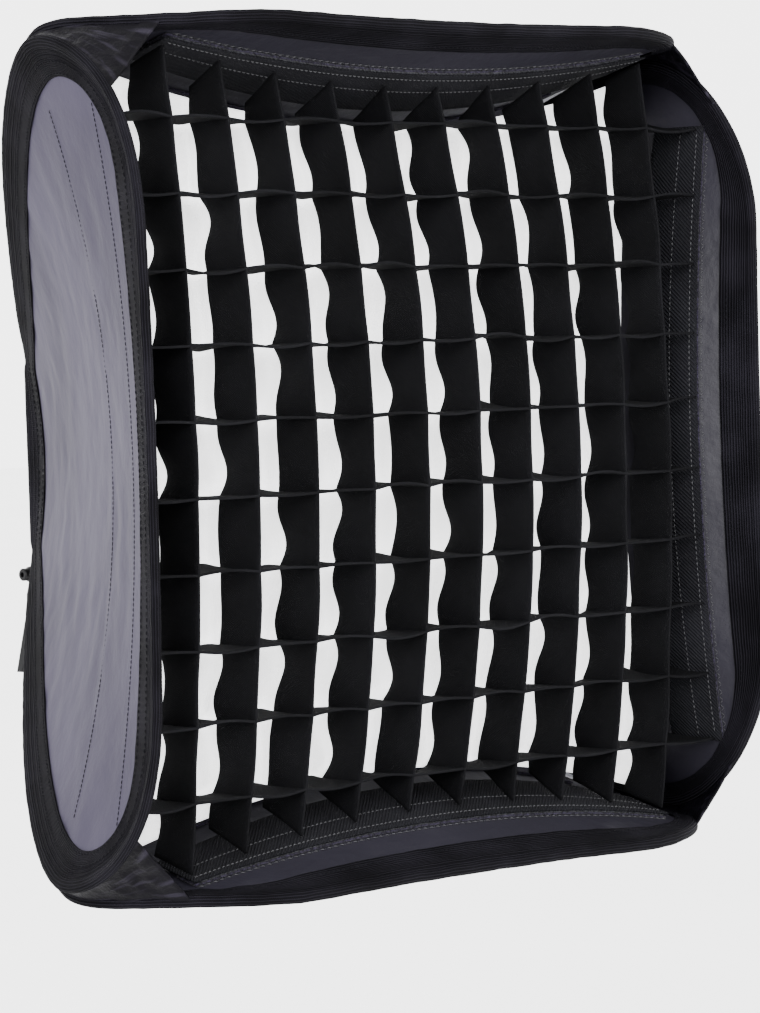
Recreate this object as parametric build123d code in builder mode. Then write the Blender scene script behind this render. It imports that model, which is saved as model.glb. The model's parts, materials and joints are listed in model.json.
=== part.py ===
from build123d import *
import os
from math import cos, exp, log, pi, radians, sin, sqrt

# Square pop-up softbox on a tilting flash bracket, in millimetres.
# Origin: centre of the stand socket's mouth. +Z is up, the softbox opens towards -Y,
# and +X is on the right of someone who faces the opening.

os.makedirs("parts", exist_ok=True)

# ---- driving dimensions -------------------------------------------------------------
PIVOT_H = 66.0  # tilt pivot above the socket's mouth
AXIS_H = PIVOT_H + 90.0  # optical axis above the socket's mouth
RUN = 0.05  # radial clearance of a running fit
GAP = 0.3  # clearance between neighbouring soft or flat parts

RIM_HALF = 287.0  # optical axis to the middle of each front edge
RIM_Y = -431.0  # front edge, measured from the stand axis
REAR_HALF = 74.0  # optical axis to the middle of each rear edge
REAR_Y = -36.0  # rear edge
SEAM_BULGE = 58.0  # how far the sprung seams stand out of the flat pyramid
SEAM_SHAPE = 0.77  # moves the fullest place of the seams towards the front
CORNER_R = 140.0  # rounding of a steel loop at the front corners
SLANT = 1.13  # length along a panel for each unit of y
WIRE_R = 1.25
SLEEVE_R = 4.0
SLEEVE_BORE_R = 2.0
SLEEVE_SLIT = 20.0  # degrees of the binding left open, where the panel goes in
LOOP_SPREAD = 3.0  # half the offset between the loops of neighbouring panels
LOOP_REAR_V = REAR_HALF + 3.5  # optical axis to the rear run of a loop
LOOP_FRONT_HALF = 290.0  # half the width of a loop at LOOP_FRONT_Y
LOOP_FRONT_Y = RIM_Y + 6
LOOP_FLARE = 0.0633  # how fast a loop narrows behind that, before it meets the seam's curve
LOOP_BLEND = 5.0
LOOP_GAP = 2.0  # between a loop's two ends, inside their ferrule
CORNER_ANGLES = (90, 70, 52, 34, 16)  # points of a loop's route round a front corner
SEAM_STATIONS = (-290.0, -237.0, -187.0, -137.0, -87.0)  # and along a seam, in y
REAR_BEND = 12.0  # bends at those points
SEAM_BEND = 120.0
CORNER_BEND = 50.0
RIM_BEND = 600.0
PLY = 1.0  # outer nylon
LINING = 0.5  # reflective lining
LINING_Y = -308.0  # front edge of the lining
TAPE = 1.5  # hook tape and loop tape
HEM = 8.0  # panel edge to the line of its steel loop
PLY_GAP = 0.3  # between sewn layers, which are modelled apart

PITCH = 50.0  # egg-crate cell
SLATS = 10  # slats in each direction
SLAT_T = 1.0
SLAT_DEPTH = 40.0
GRID_Y = -387.0  # front of the egg-crate at its corners
GRID_SPAN = 275.0
CENTRE_BOW = 30.0  # the slats bow forward towards the middle
SIDE_BOW = 9.5  # the left and right sides bow forward
TOP_SAG = 15.7  # the top and bottom sides bow rearward
BAND_Y = -386.0  # front edge of the grid's tape at the top and bottom
BAND_W = 20.0
SIDE_LEAD = 8.0  # the tape lies this much further forward on the left and right
BORDER_W = 40.0  # depth of the grid's fabric border
BORDER_HALF_L = 227.0  # half the length of the border, and of each tape, on a side
GRID_LOOP_HALF_L = 225.0
GRID_HOOK_HALF_L = 222.0
DIFFUSER_LOOP_HALF_L = 190.0
DIFFUSER_Y = (-353.0, -329.0)  # diffuser in the middle and at its top and bottom
DIFFUSER_T = 0.8
DIFFUSER_BAND_Y = (-326.0, -310.0)
DIFFUSER_INSET = 6.0  # between the panels' outer faces and the diffuser's edge
DIFFUSER_CORNER = 14.0  # the diffuser's corners stop this far short of the seams
DIFFUSER_CUT = 506.0  # the corners are cut off where |x| + |z| reaches this
UPRIGHT_END_Y = (-375.0, -335.0)  # where the slats' ends are measured, front and rear
LEVEL_END_Y = (-388.0, -348.0)

FLANGE_R = 72.0
NECK_R = 49.0
NECK_WALL = 3.0
LUG_R = 55.0
RING_R = 62.0
CLAMP_RING_R = 66.0
SCREW_CIRCLE_R = 58.0
RING_SCREWS = {"radius": SCREW_CIRCLE_R, "count": 8, "start_angle": 22.5}
RING_SCREW_R = 2.0

FLASH_HALF_W = 41.0  # optical axis to a guide rod
SHELF_TOP = AXIS_H - 40.0
SHELF_T = 12.0
BRIDGE_Z = AXIS_H + 52.0
BRIDGE_T = 9.0
JAW_Z = AXIS_H + 28.0
JAW_T = 10.0
JAW_Y = 8.0  # axis of the clamp screw
ROD_Y = -2.0
ROD_R = 3.0
ROD_SPOTS = [(-FLASH_HALF_W, ROD_Y), (FLASH_HALF_W, ROD_Y)]
CLAMP_SCREW_R = 4.0

SOCKET_R = 8.1  # takes a 16 mm stand spigot
SOCKET_DEPTH = 38.0
RECEIVER_R = 17.0
EAR_R = 17.0
LUG_HALF = 9.0
EAR_IN = 9.4
EAR_OUT = 17.0
TILT_BOLT_R = 4.0
UMBRELLA_R = 4.3
UMBRELLA_Z = PIVOT_H + 29.0

SIDES = {"top": 0, "right": 90, "bottom": 180, "left": 270}


# ---- shape of the fabric shell ------------------------------------------------------
# u runs across a side panel and v outwards from the optical axis.
def share(y):
    """How far back y lies between the front and the rear edge, from 0 to 1."""
    return (y - RIM_Y) / (REAR_Y - RIM_Y)


def mid_half(y):
    return RIM_HALF + (REAR_HALF - RIM_HALF) * share(y)


def seam_bulge(y):
    return 2 + SEAM_BULGE * sin(pi * (0.03 + 0.97 * share(y)) ** SEAM_SHAPE)


def seam_half(y):
    return mid_half(y) + seam_bulge(y)


def loop_half(y):
    """Half the width of a steel loop: the seam's curve, held in near the front."""
    seam = seam_half(y) - LOOP_SPREAD
    front = LOOP_FRONT_HALF - (y - LOOP_FRONT_Y) * LOOP_FLARE
    return -LOOP_BLEND * log(exp(-seam / LOOP_BLEND) + exp(-front / LOOP_BLEND))


def skin(y, u):
    """Outer face of a side panel: its distance from the optical axis."""
    half = loop_half(y)
    return mid_half(y) + (half + 2 * LOOP_SPREAD - mid_half(y)) * (u / half) ** 2


def rounding(y):
    """How far a rounded front corner lies inside the line of the seam."""
    inside = max(CORNER_R - (y - RIM_Y) * SLANT, 0)
    return CORNER_R - sqrt(CORNER_R**2 - inside**2)


def panel_half(y):
    """Half the width of a side panel, with its rounded front corners."""
    return loop_half(y) - HEM - rounding(y)


def section_plane(turn, y):
    """Cross-section plane of a side: local x is u, local y is v."""
    across = (cos(radians(turn)), 0, -sin(radians(turn)))
    return Plane(origin=(0, y, AXIS_H), x_dir=across, z_dir=(0, -1, 0))


def at(turn, u, v, y):
    """Point in the part's frame from a place on a side."""
    a = radians(turn)
    return (u * cos(a) + v * sin(a), y, AXIS_H - u * sin(a) + v * cos(a))


def ply(turn, stations, drop, thickness, trim=0.0, widest=1000.0):
    """Curved sheet that follows a side panel, drop inside its outer face."""
    with BuildPart() as sheet:
        for y in stations:
            half = min(panel_half(y) - trim, widest)
            middle = mid_half(y) - drop
            side = skin(y, half) - drop
            with BuildSketch(section_plane(turn, y)):
                with BuildLine():
                    ThreePointArc((-half, side), (0, middle), (half, side))
                    Line((half, side), (half, side - thickness))
                    inner = (0, middle - thickness)
                    ThreePointArc((half, side - thickness), inner, (-half, side - thickness))
                    Line((-half, side - thickness), (-half, side))
                make_face()
        loft(ruled=True)
    return sheet


def loop_route(turn):
    """Centre line of a steel loop: open by a hair at the middle of its rear edge."""
    corner_y = [RIM_Y + CORNER_R / SLANT * (1 - sin(radians(a))) for a in CORNER_ANGLES]
    right = []
    for y in corner_y + list(SEAM_STATIONS):
        u = loop_half(y) - rounding(y)
        right.append((u, skin(y, u), y))
    right.append((REAR_HALF - LOOP_SPREAD, LOOP_REAR_V, REAR_Y))
    left = [(-u, v, y) for u, v, y in reversed(right)]
    start = (LOOP_GAP / 2, LOOP_REAR_V, REAR_Y)
    end = (-LOOP_GAP / 2, LOOP_REAR_V, REAR_Y)
    route = [start] + right[::-1] + [(0, RIM_HALF, RIM_Y)] + left[::-1] + [end]
    bends = [REAR_BEND]
    bends += [SEAM_BEND] * len(SEAM_STATIONS)
    bends += [CORNER_BEND] * len(CORNER_ANGLES)
    return [at(turn, *p) for p in route], bends + [RIM_BEND] + bends[::-1]


def swept_loop(turn, outer, inner=0.0):
    """Wire along a steel loop's route, or the binding folded round it, slit inwards."""
    points, bends = loop_route(turn)
    with BuildPart() as tube:
        with BuildLine() as route:
            FilletPolyline(*points, radius=bends)
        with BuildSketch(Plane(origin=route.line @ 0, z_dir=route.line % 0)):
            if inner:
                with BuildLine():
                    outside = CenterArc((0, 0), outer, SLEEVE_SLIT / 2, 360 - SLEEVE_SLIT)
                    inside = CenterArc((0, 0), inner, SLEEVE_SLIT / 2, 360 - SLEEVE_SLIT)
                    Line(outside @ 0, inside @ 0)
                    Line(outside @ 1, inside @ 1)
                make_face()
            else:
                Circle(outer)
        sweep()
    return tube


def band_y(turn):
    """Front and rear edge of the grid's tape on a side."""
    front = BAND_Y - (SIDE_LEAD if turn % 180 else 0)
    return [front, front + BAND_W]


# ---- softbox shell ------------------------------------------------------------------
FRONT_CUTS = [RIM_Y + d for d in (4, 9, 18, 32)]
LINED_CUTS = [LINING_Y, -273.0, *SEAM_STATIONS[1:], REAR_Y - 5]
REAR_CUTS = [-345.0, *DIFFUSER_BAND_Y, *LINED_CUTS]

for side, turn in SIDES.items():
    side_panel = ply(turn, FRONT_CUTS + band_y(turn) + REAR_CUTS, 0.0, PLY)
    side_panel.part.label = f"side_panel_{side}"
    export_step(side_panel.part, f"parts/side_panel_{side}.step")

    side_lining = ply(turn, LINED_CUTS, PLY + PLY_GAP, LINING, trim=2.0)
    side_lining.part.label = f"side_lining_{side}"
    export_step(side_lining.part, f"parts/side_lining_{side}.step")

    spring_loop = swept_loop(turn, WIRE_R)
    spring_loop.part.label = f"spring_loop_{side}"
    export_step(spring_loop.part, f"parts/spring_loop_{side}.step")

    loop_sleeve = swept_loop(turn, SLEEVE_R, SLEEVE_BORE_R)
    loop_sleeve.part.label = f"loop_sleeve_{side}"
    export_step(loop_sleeve.part, f"parts/loop_sleeve_{side}.step")

# Ferrules: short tubes over the ends of the four steel loops.
FERRULE_L = 18.0
with BuildPart() as loop_ferrules:
    for turn in SIDES.values():
        across = Vector(*at(turn, 1, 0, 0)) - Vector(*at(turn, 0, 0, 0))
        with BuildSketch(Plane(origin=at(turn, 0, LOOP_REAR_V, REAR_Y), z_dir=across)):
            Circle(SLEEVE_BORE_R - 0.2)
            Circle(WIRE_R + 0.15, mode=Mode.SUBTRACT)
        extrude(amount=FERRULE_L / 2, both=True)
loop_ferrules.part.label = "loop_ferrules"
export_step(loop_ferrules.part, "parts/loop_ferrules.step")

# Corner gussets: triangles from the seam to a hem that crosses the rounded corner.
GUSSET_HEM = (228.0, 285.0)  # u and v of a hem end
GUSSET_HEM_Y = RIM_Y + 31
GUSSET_TIP = (284.0, 284.0, -345.0)  # u, v and y of the end on the seam
with BuildPart() as corner_gussets:
    for turn in SIDES.values():
        a = Vector(*at(turn, *GUSSET_TIP))
        b = Vector(*at(turn, GUSSET_HEM[0], GUSSET_HEM[1], GUSSET_HEM_Y))
        c = Vector(*at(turn, GUSSET_HEM[1], GUSSET_HEM[0], GUSSET_HEM_Y))
        sheet = Plane(origin=(b + c) * 0.5, x_dir=c - b, z_dir=(c - b).cross(a - b))
        with BuildSketch(sheet):
            with BuildLine():
                Polyline([sheet.to_local_coords(p) for p in (a, b, c)], close=True)
            make_face()
        extrude(amount=PLY / 2, both=True)
corner_gussets.part.label = "corner_gussets"
export_step(corner_gussets.part, "parts/corner_gussets.step")

with BuildPart() as grid_loop_tape:
    for turn in SIDES.values():
        add(ply(turn, band_y(turn), PLY + PLY_GAP, TAPE, widest=GRID_LOOP_HALF_L).part)
grid_loop_tape.part.label = "grid_loop_tape"
export_step(grid_loop_tape.part, "parts/grid_loop_tape.step")

with BuildPart() as diffuser_loop_tape:
    for turn in SIDES.values():
        add(ply(turn, DIFFUSER_BAND_Y, PLY + PLY_GAP, TAPE, widest=DIFFUSER_LOOP_HALF_L).part)
diffuser_loop_tape.part.label = "diffuser_loop_tape"
export_step(diffuser_loop_tape.part, "parts/diffuser_loop_tape.step")

# Ring pack at the rear: clamp ring, fabric collar, bayonet ring, from front to back.
CLAMP_Y = -36.3  # front face of the clamp ring
COLLAR_Y = -34.0
COLLAR_W = 2 * (LOOP_REAR_V - SLEEVE_R) - 1
FLANGE_Y = -32.0
FLANGE_T = 3.0
NECK_END_Y = -17.0
LUG_Y = -22.0
LUG_T = 4.0
LUG_ANGLES = (90, 210, 330)  # degrees round the optical axis
LUG_SWEEP = 30


def front_plane(y):
    """Plane across the optical axis: local x is +X, local y is +Z, extrusions go to -Y."""
    return Plane(origin=(0, y, AXIS_H), x_dir=(1, 0, 0), z_dir=(0, -1, 0))


with BuildPart() as clamp_ring:
    with BuildSketch(front_plane(COLLAR_Y - 0.1)):
        Circle(CLAMP_RING_R)
        Circle(NECK_R - NECK_WALL, mode=Mode.SUBTRACT)
        with PolarLocations(**RING_SCREWS):
            Circle(RING_SCREW_R + 0.1, mode=Mode.SUBTRACT)
    extrude(amount=COLLAR_Y - 0.1 - CLAMP_Y)
    front_circles = clamp_ring.edges().filter_by(GeomType.CIRCLE).group_by(Axis.Y)[0]
    chamfer(front_circles.sort_by(SortBy.RADIUS)[-1], 0.6)
clamp_ring.part.label = "clamp_ring"
export_step(clamp_ring.part, "parts/clamp_ring.step")

with BuildPart() as rear_collar:
    with BuildSketch(front_plane(FLANGE_Y - 0.1)):
        RectangleRounded(COLLAR_W, COLLAR_W, 30)
        Circle(NECK_R - NECK_WALL + 1, mode=Mode.SUBTRACT)
        with PolarLocations(**RING_SCREWS):
            Circle(RING_SCREW_R + 0.3, mode=Mode.SUBTRACT)
    extrude(amount=FLANGE_Y - 0.1 - COLLAR_Y)
rear_collar.part.label = "rear_collar"
export_step(rear_collar.part, "parts/rear_collar.step")

with BuildPart() as bayonet_ring:
    with BuildSketch(front_plane(FLANGE_Y + FLANGE_T)):
        Circle(FLANGE_R)
        Circle(NECK_R - NECK_WALL, mode=Mode.SUBTRACT)
        with PolarLocations(**RING_SCREWS):
            Circle(RING_SCREW_R + RUN, mode=Mode.SUBTRACT)
    extrude(amount=FLANGE_T)
    with BuildSketch(front_plane(NECK_END_Y)):
        Circle(NECK_R)
        Circle(NECK_R - NECK_WALL, mode=Mode.SUBTRACT)
    extrude(amount=NECK_END_Y - FLANGE_Y - FLANGE_T)
    with BuildSketch(front_plane(LUG_Y + LUG_T)):
        for middle in LUG_ANGLES:
            with BuildLine():
                arc = CenterArc((0, 0), LUG_R, middle - LUG_SWEEP / 2, LUG_SWEEP)
                Line(arc @ 1, (0, 0))
                Line((0, 0), arc @ 0)
            make_face()
        Circle(NECK_R - 0.5, mode=Mode.SUBTRACT)
    extrude(amount=LUG_T)
    chamfer(bayonet_ring.edges().filter_by(GeomType.CIRCLE).group_by(Axis.Y)[-1], 0.8)
bayonet_ring.part.label = "bayonet_ring"
export_step(bayonet_ring.part, "parts/bayonet_ring.step")

with BuildPart() as ring_screws:
    with BuildSketch(front_plane(FLANGE_Y + FLANGE_T)):
        with PolarLocations(**RING_SCREWS):
            Circle(RING_SCREW_R)
    extrude(amount=FLANGE_Y + FLANGE_T - CLAMP_Y + 0.5)
    with BuildSketch(front_plane(CLAMP_Y - 0.05)):
        with PolarLocations(**RING_SCREWS):
            Circle(3.6)
            RegularPolygon(1.4, 6, mode=Mode.SUBTRACT)
    extrude(amount=2.2)
ring_screws.part.label = "ring_screws"
export_step(ring_screws.part, "parts/ring_screws.step")


# ---- front diffuser -----------------------------------------------------------------
def pulled_in_square(mid, tip):
    """Start, middle and end of the four arcs: mid is a side's middle, tip a corner."""
    corners = [(-tip, tip), (tip, tip), (tip, -tip), (-tip, -tip)]
    middles = [(0, mid), (mid, 0), (0, -mid), (-mid, 0)]
    return [(corners[i], middles[i], corners[(i + 1) % 4]) for i in range(4)]


def bowed_sheet(thickness, behind, frame_width=None):
    """Sheet across the opening, bowed forward in the middle, with pulled-in sides.

    With a frame_width only a frame of that width is left round its edge.
    """
    edge_y = DIFFUSER_Y[1]
    mid = mid_half(edge_y) - DIFFUSER_INSET
    tip = seam_half(edge_y) - DIFFUSER_INSET - DIFFUSER_CORNER
    front_mid = DIFFUSER_Y[0] + behind
    front_end = edge_y + behind
    low, high = AXIS_H - 285, AXIS_H + 285
    with BuildPart() as sheet:
        with BuildSketch(Plane.YZ.offset(-300)):
            with BuildLine():
                ThreePointArc((front_end, low), (front_mid, AXIS_H), (front_end, high))
                Line((front_end, high), (front_end + thickness, high))
                rear_mid = (front_mid + thickness, AXIS_H)
                ThreePointArc((front_end + thickness, high), rear_mid, (front_end + thickness, low))
                Line((front_end + thickness, low), (front_end, low))
            make_face()
        extrude(amount=600)
        with BuildSketch(front_plane(edge_y + 60)):
            with BuildLine():
                for arc in pulled_in_square(mid, tip):
                    ThreePointArc(*arc)
            make_face()
            cut_side = DIFFUSER_CUT * sqrt(2)
            Rectangle(cut_side, cut_side, rotation=45, mode=Mode.INTERSECT)
        extrude(amount=160, mode=Mode.INTERSECT)
        if frame_width:
            with BuildSketch(front_plane(edge_y + 60)):
                with BuildLine():
                    for arc in pulled_in_square(mid - frame_width, tip - frame_width):
                        ThreePointArc(*arc)
                make_face()
            extrude(amount=160, mode=Mode.SUBTRACT)
    return sheet


front_diffuser = bowed_sheet(DIFFUSER_T, 0.0)
front_diffuser.part.label = "front_diffuser"
export_step(front_diffuser.part, "parts/front_diffuser.step")

diffuser_hook_tape = bowed_sheet(TAPE, DIFFUSER_T + 0.1, frame_width=18.0)
diffuser_hook_tape.part.label = "diffuser_hook_tape"
export_step(diffuser_hook_tape.part, "parts/diffuser_hook_tape.step")

# ---- egg-crate grid -----------------------------------------------------------------
HOOK_DROP = PLY + PLY_GAP + TAPE + GAP  # outer face of the hook tape inside the panel's face
BORDER_DROP = HOOK_DROP + TAPE + PLY_GAP
BORDER_T = 1.2
SLAT_DROP = BORDER_DROP + BORDER_T + GAP  # slat ends inside the panel's face
HALF_LAP = SLAT_DEPTH / 2 + 0.6
LAP_W = SLAT_T + 0.6


def grid_front(x, z):
    """Y of the slats' front edges, x and z measured from the optical axis."""
    fx = 1 - (x / GRID_SPAN) ** 2
    fz = 1 - (z / GRID_SPAN) ** 2
    return GRID_Y - CENTRE_BOW * fx * fz - SIDE_BOW * fz + TOP_SAG * fx


def slat_places():
    return [(i - (SLATS - 1) / 2) * PITCH for i in range(SLATS)]


def slat_set(plane_of, front_of, end_y, lap_from_front):
    """Slats in one direction: bowed edges, ends cut to the panels, half-lap slots.

    plane_of(place) is a slat's plane, with its length along local x and its depth along
    local y, and front_of(place, along) is the y of its front edge.
    """
    with BuildPart() as slats:
        for place in slat_places():
            front_end = skin(end_y[0], place) - SLAT_DROP
            rear_end = skin(end_y[1], place) - SLAT_DROP
            front, middle = front_of(place, front_end), front_of(place, 0)
            rear = front + SLAT_DEPTH
            with BuildSketch(plane_of(place)):
                with BuildLine():
                    ThreePointArc((-front_end, front), (0, middle), (front_end, front))
                    Line((front_end, front), (rear_end, rear))
                    ThreePointArc((rear_end, rear), (0, middle + SLAT_DEPTH), (-rear_end, rear))
                    Line((-rear_end, rear), (-front_end, front))
                make_face()
                for crossing in slat_places():
                    edge = front_of(place, crossing) + (0 if lap_from_front else SLAT_DEPTH)
                    with Locations((crossing, edge)):
                        Rectangle(LAP_W, 2 * HALF_LAP, mode=Mode.SUBTRACT)
            extrude(amount=SLAT_T)
    return slats


def upright_plane(x):
    return Plane(origin=(x + SLAT_T / 2, 0, AXIS_H), x_dir=(0, 0, 1), z_dir=(-1, 0, 0))


def level_plane(z):
    return Plane.XY.offset(AXIS_H + z - SLAT_T / 2)


upright_slats = slat_set(upright_plane, grid_front, UPRIGHT_END_Y, True)
upright_slats.part.label = "upright_slats"
export_step(upright_slats.part, "parts/upright_slats.step")

level_slats = slat_set(level_plane, lambda z, x: grid_front(x, z), LEVEL_END_Y, False)
level_slats.part.label = "level_slats"
export_step(level_slats.part, "parts/level_slats.step")

with BuildPart() as grid_border:
    for turn in SIDES.values():
        front = band_y(turn)[0] - 1
        stations = [front, front + BORDER_W / 2, front + BORDER_W]
        add(ply(turn, stations, BORDER_DROP, BORDER_T, widest=BORDER_HALF_L).part)
grid_border.part.label = "grid_border"
export_step(grid_border.part, "parts/grid_border.step")

with BuildPart() as grid_hook_tape:
    for turn in SIDES.values():
        add(ply(turn, band_y(turn), HOOK_DROP, TAPE, widest=GRID_HOOK_HALF_L).part)
grid_hook_tape.part.label = "grid_hook_tape"
export_step(grid_hook_tape.part, "parts/grid_hook_tape.step")

# ---- bracket head: ring housing and catch -------------------------------------------
HOUSING_Y = (-28.7, -16.0)
LIP_END_Y = -22.4
LIP_R = NECK_R + 0.6
GROOVE_R = LUG_R + 0.6
CATCH_X = -18.0
CATCH_Y = -21.5
CATCH_R = 2.2
CATCH_BOSS_TOP = AXIS_H + 72.0
CATCH_FLOOR = AXIS_H + 57.0
CATCH_ROOF = AXIS_H + 69.0
SPRING_BORE_R = 3.9
LOCK_TURN = 60  # the lugs go in this far round, and are then turned to lock
ENTRY_SWEEP = 40
STEM_R = 1.8
HOUSING_SCREWS = [35, 145, 215, 325]  # degrees round the optical axis
HOUSING_SCREW_AT = 58.8
HOUSING_SCREW_R = 1.5
COVER_Y = (-15.7, -12.7)
PLATE_Y = (-12.4, -9.4)


def on_circle(radius, angle):
    return (radius * cos(radians(angle)), radius * sin(radians(angle)))


SCREW_SPOTS = [on_circle(HOUSING_SCREW_AT, angle) for angle in HOUSING_SCREWS]

with BuildPart() as ring_housing:
    with BuildSketch(front_plane(HOUSING_Y[1])):
        Circle(RING_R)
        boss_low, boss_high = RING_R - 8, CATCH_BOSS_TOP - AXIS_H
        with Locations((CATCH_X, (boss_low + boss_high) / 2)):
            Rectangle(14, boss_high - boss_low)
        Circle(LIP_R, mode=Mode.SUBTRACT)
    extrude(amount=HOUSING_Y[1] - HOUSING_Y[0])
    with BuildSketch(front_plane(HOUSING_Y[1])):
        Circle(GROOVE_R)
    extrude(amount=HOUSING_Y[1] - LIP_END_Y, mode=Mode.SUBTRACT)
    with BuildSketch(front_plane(HOUSING_Y[1])):
        for middle in LUG_ANGLES:
            with BuildLine():
                entry = middle - LOCK_TURN - ENTRY_SWEEP / 2
                arc = CenterArc((0, 0), GROOVE_R, entry, ENTRY_SWEEP)
                Line(arc @ 1, (0, 0))
                Line((0, 0), arc @ 0)
            make_face()
    extrude(amount=HOUSING_Y[1] - HOUSING_Y[0], mode=Mode.SUBTRACT)
    with BuildSketch(Plane(origin=(CATCH_X, CATCH_Y, AXIS_H + 46))):
        Circle(CATCH_R + RUN)
    extrude(amount=CATCH_FLOOR - AXIS_H - 46, mode=Mode.SUBTRACT)
    with BuildSketch(Plane(origin=(CATCH_X, CATCH_Y, CATCH_FLOOR))):
        Circle(SPRING_BORE_R)
    extrude(amount=CATCH_ROOF - CATCH_FLOOR, mode=Mode.SUBTRACT)
    with BuildSketch(Plane(origin=(CATCH_X, CATCH_Y, CATCH_ROOF))):
        Circle(STEM_R + RUN)
    extrude(amount=CATCH_BOSS_TOP - CATCH_ROOF, mode=Mode.SUBTRACT)
    with BuildSketch(front_plane(HOUSING_Y[1])):
        with Locations(*SCREW_SPOTS):
            Circle(HOUSING_SCREW_R + 0.1)
    extrude(amount=9, mode=Mode.SUBTRACT)
ring_housing.part.label = "ring_housing"
export_step(ring_housing.part, "parts/ring_housing.step")

with BuildPart() as housing_cover:
    with BuildSketch(front_plane(COVER_Y[1])):
        Circle(RING_R)
        Circle(NECK_R - NECK_WALL, mode=Mode.SUBTRACT)
        with Locations(*SCREW_SPOTS):
            Circle(HOUSING_SCREW_R + 0.1, mode=Mode.SUBTRACT)
    extrude(amount=COVER_Y[1] - COVER_Y[0])
housing_cover.part.label = "housing_cover"
export_step(housing_cover.part, "parts/housing_cover.step")

with BuildPart() as housing_screws:
    with BuildSketch(front_plane(PLATE_Y[1] + 0.05)):
        with Locations(*SCREW_SPOTS):
            Circle(HOUSING_SCREW_R)
    extrude(amount=15)
    with BuildSketch(front_plane(PLATE_Y[1] + 2.3)):
        with Locations(*SCREW_SPOTS):
            Circle(2.8)
            RegularPolygon(1.2, 6, mode=Mode.SUBTRACT)
    extrude(amount=2.25)
housing_screws.part.label = "housing_screws"
export_step(housing_screws.part, "parts/housing_screws.step")

COLLAR_LOW = CATCH_FLOOR + 0.3
COLLAR_HIGH = COLLAR_LOW + 2
with BuildPart() as catch_pin:
    with BuildSketch(Plane(origin=(CATCH_X, CATCH_Y, AXIS_H + 48.5))):
        Circle(CATCH_R)
    extrude(amount=COLLAR_LOW - AXIS_H - 48.5)
    with BuildSketch(Plane(origin=(CATCH_X, CATCH_Y, COLLAR_LOW))):
        Circle(SPRING_BORE_R - 0.2)
    extrude(amount=COLLAR_HIGH - COLLAR_LOW)
    with BuildSketch(Plane(origin=(CATCH_X, CATCH_Y, COLLAR_HIGH))):
        Circle(STEM_R)
    extrude(amount=AXIS_H + 80 - COLLAR_HIGH)
    chamfer(catch_pin.edges().group_by(Axis.Z)[0], 0.5)
catch_pin.part.label = "catch_pin"
export_step(catch_pin.part, "parts/catch_pin.step")

SPRING_WIRE_R = 0.35
with BuildPart() as catch_spring:
    with BuildLine() as coil:
        Helix(
            pitch=2.1,
            height=CATCH_ROOF - COLLAR_HIGH - 2 * SPRING_WIRE_R - 0.2,
            radius=2.9,
            center=(CATCH_X, CATCH_Y, COLLAR_HIGH + SPRING_WIRE_R + 0.1),
        )
    with BuildSketch(Plane(origin=coil.line @ 0, z_dir=coil.line % 0)):
        Circle(SPRING_WIRE_R)
    sweep(is_frenet=True)
catch_spring.part.label = "catch_spring"
export_step(catch_spring.part, "parts/catch_spring.step")

with BuildPart() as catch_knob:
    with BuildSketch(Plane(origin=(CATCH_X, CATCH_Y, CATCH_BOSS_TOP + 1))):
        Circle(6.5)
        with PolarLocations(6.9, 10):
            Circle(1.0, mode=Mode.SUBTRACT)
    extrude(amount=11)
    chamfer(catch_knob.edges().group_by(Axis.Z)[-1], 0.5)
    with BuildSketch(Plane(origin=(CATCH_X, CATCH_Y, CATCH_BOSS_TOP + 1))):
        Circle(STEM_R + 0.02)
    extrude(amount=7.1, mode=Mode.SUBTRACT)
catch_knob.part.label = "catch_knob"
export_step(catch_knob.part, "parts/catch_knob.step")

# ---- bracket head: frame and clamp --------------------------------------------------
FRAME_HALF_W = 54.0
PLATFORM_HALF_W = 46.0  # shelf, bridge and jaw beside the guide rods
PLATFORM_END_HALF_W = 26.0
TAPER_Y = (3.0, 24.0)  # where the shelf and the bridge start to taper, and where they end
PLATFORM_Y = PLATE_Y[1] + 0.05
BRIDGE_TOP = BRIDGE_Z + BRIDGE_T
SHELF_LOW = SHELF_TOP - SHELF_T
UMBRELLA_SCREW_R = 3.0


def box_between(low, high):
    """Add a box to the active part, from its low and high corners."""
    size = [b - a for a, b in zip(low, high)]
    middle = [(a + b) / 2 for a, b in zip(low, high)]
    with Locations(tuple(middle)):
        Box(*size)


def platform(start_y, end_y):
    """Corners of the shelf, bridge or jaw in the XY plane: wide in front, tapered behind."""
    half, end_half = PLATFORM_HALF_W, PLATFORM_END_HALF_W
    right = [(half, start_y), (half, TAPER_Y[0]), (end_half, end_y)]
    return right + [(-x, y) for x, y in reversed(right)]


with BuildPart() as front_plate:
    with BuildSketch(front_plane(PLATE_Y[1])):
        with Locations((0, (BRIDGE_TOP + SHELF_LOW) / 2 - AXIS_H)):
            RectangleRounded(2 * FRAME_HALF_W, BRIDGE_TOP - SHELF_LOW, 6)
        Circle(NECK_R - NECK_WALL, mode=Mode.SUBTRACT)
        with Locations(*SCREW_SPOTS):
            Circle(HOUSING_SCREW_R + 0.1, mode=Mode.SUBTRACT)
    extrude(amount=PLATE_Y[1] - PLATE_Y[0])
front_plate.part.label = "front_plate"
export_step(front_plate.part, "parts/front_plate.step")

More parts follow.
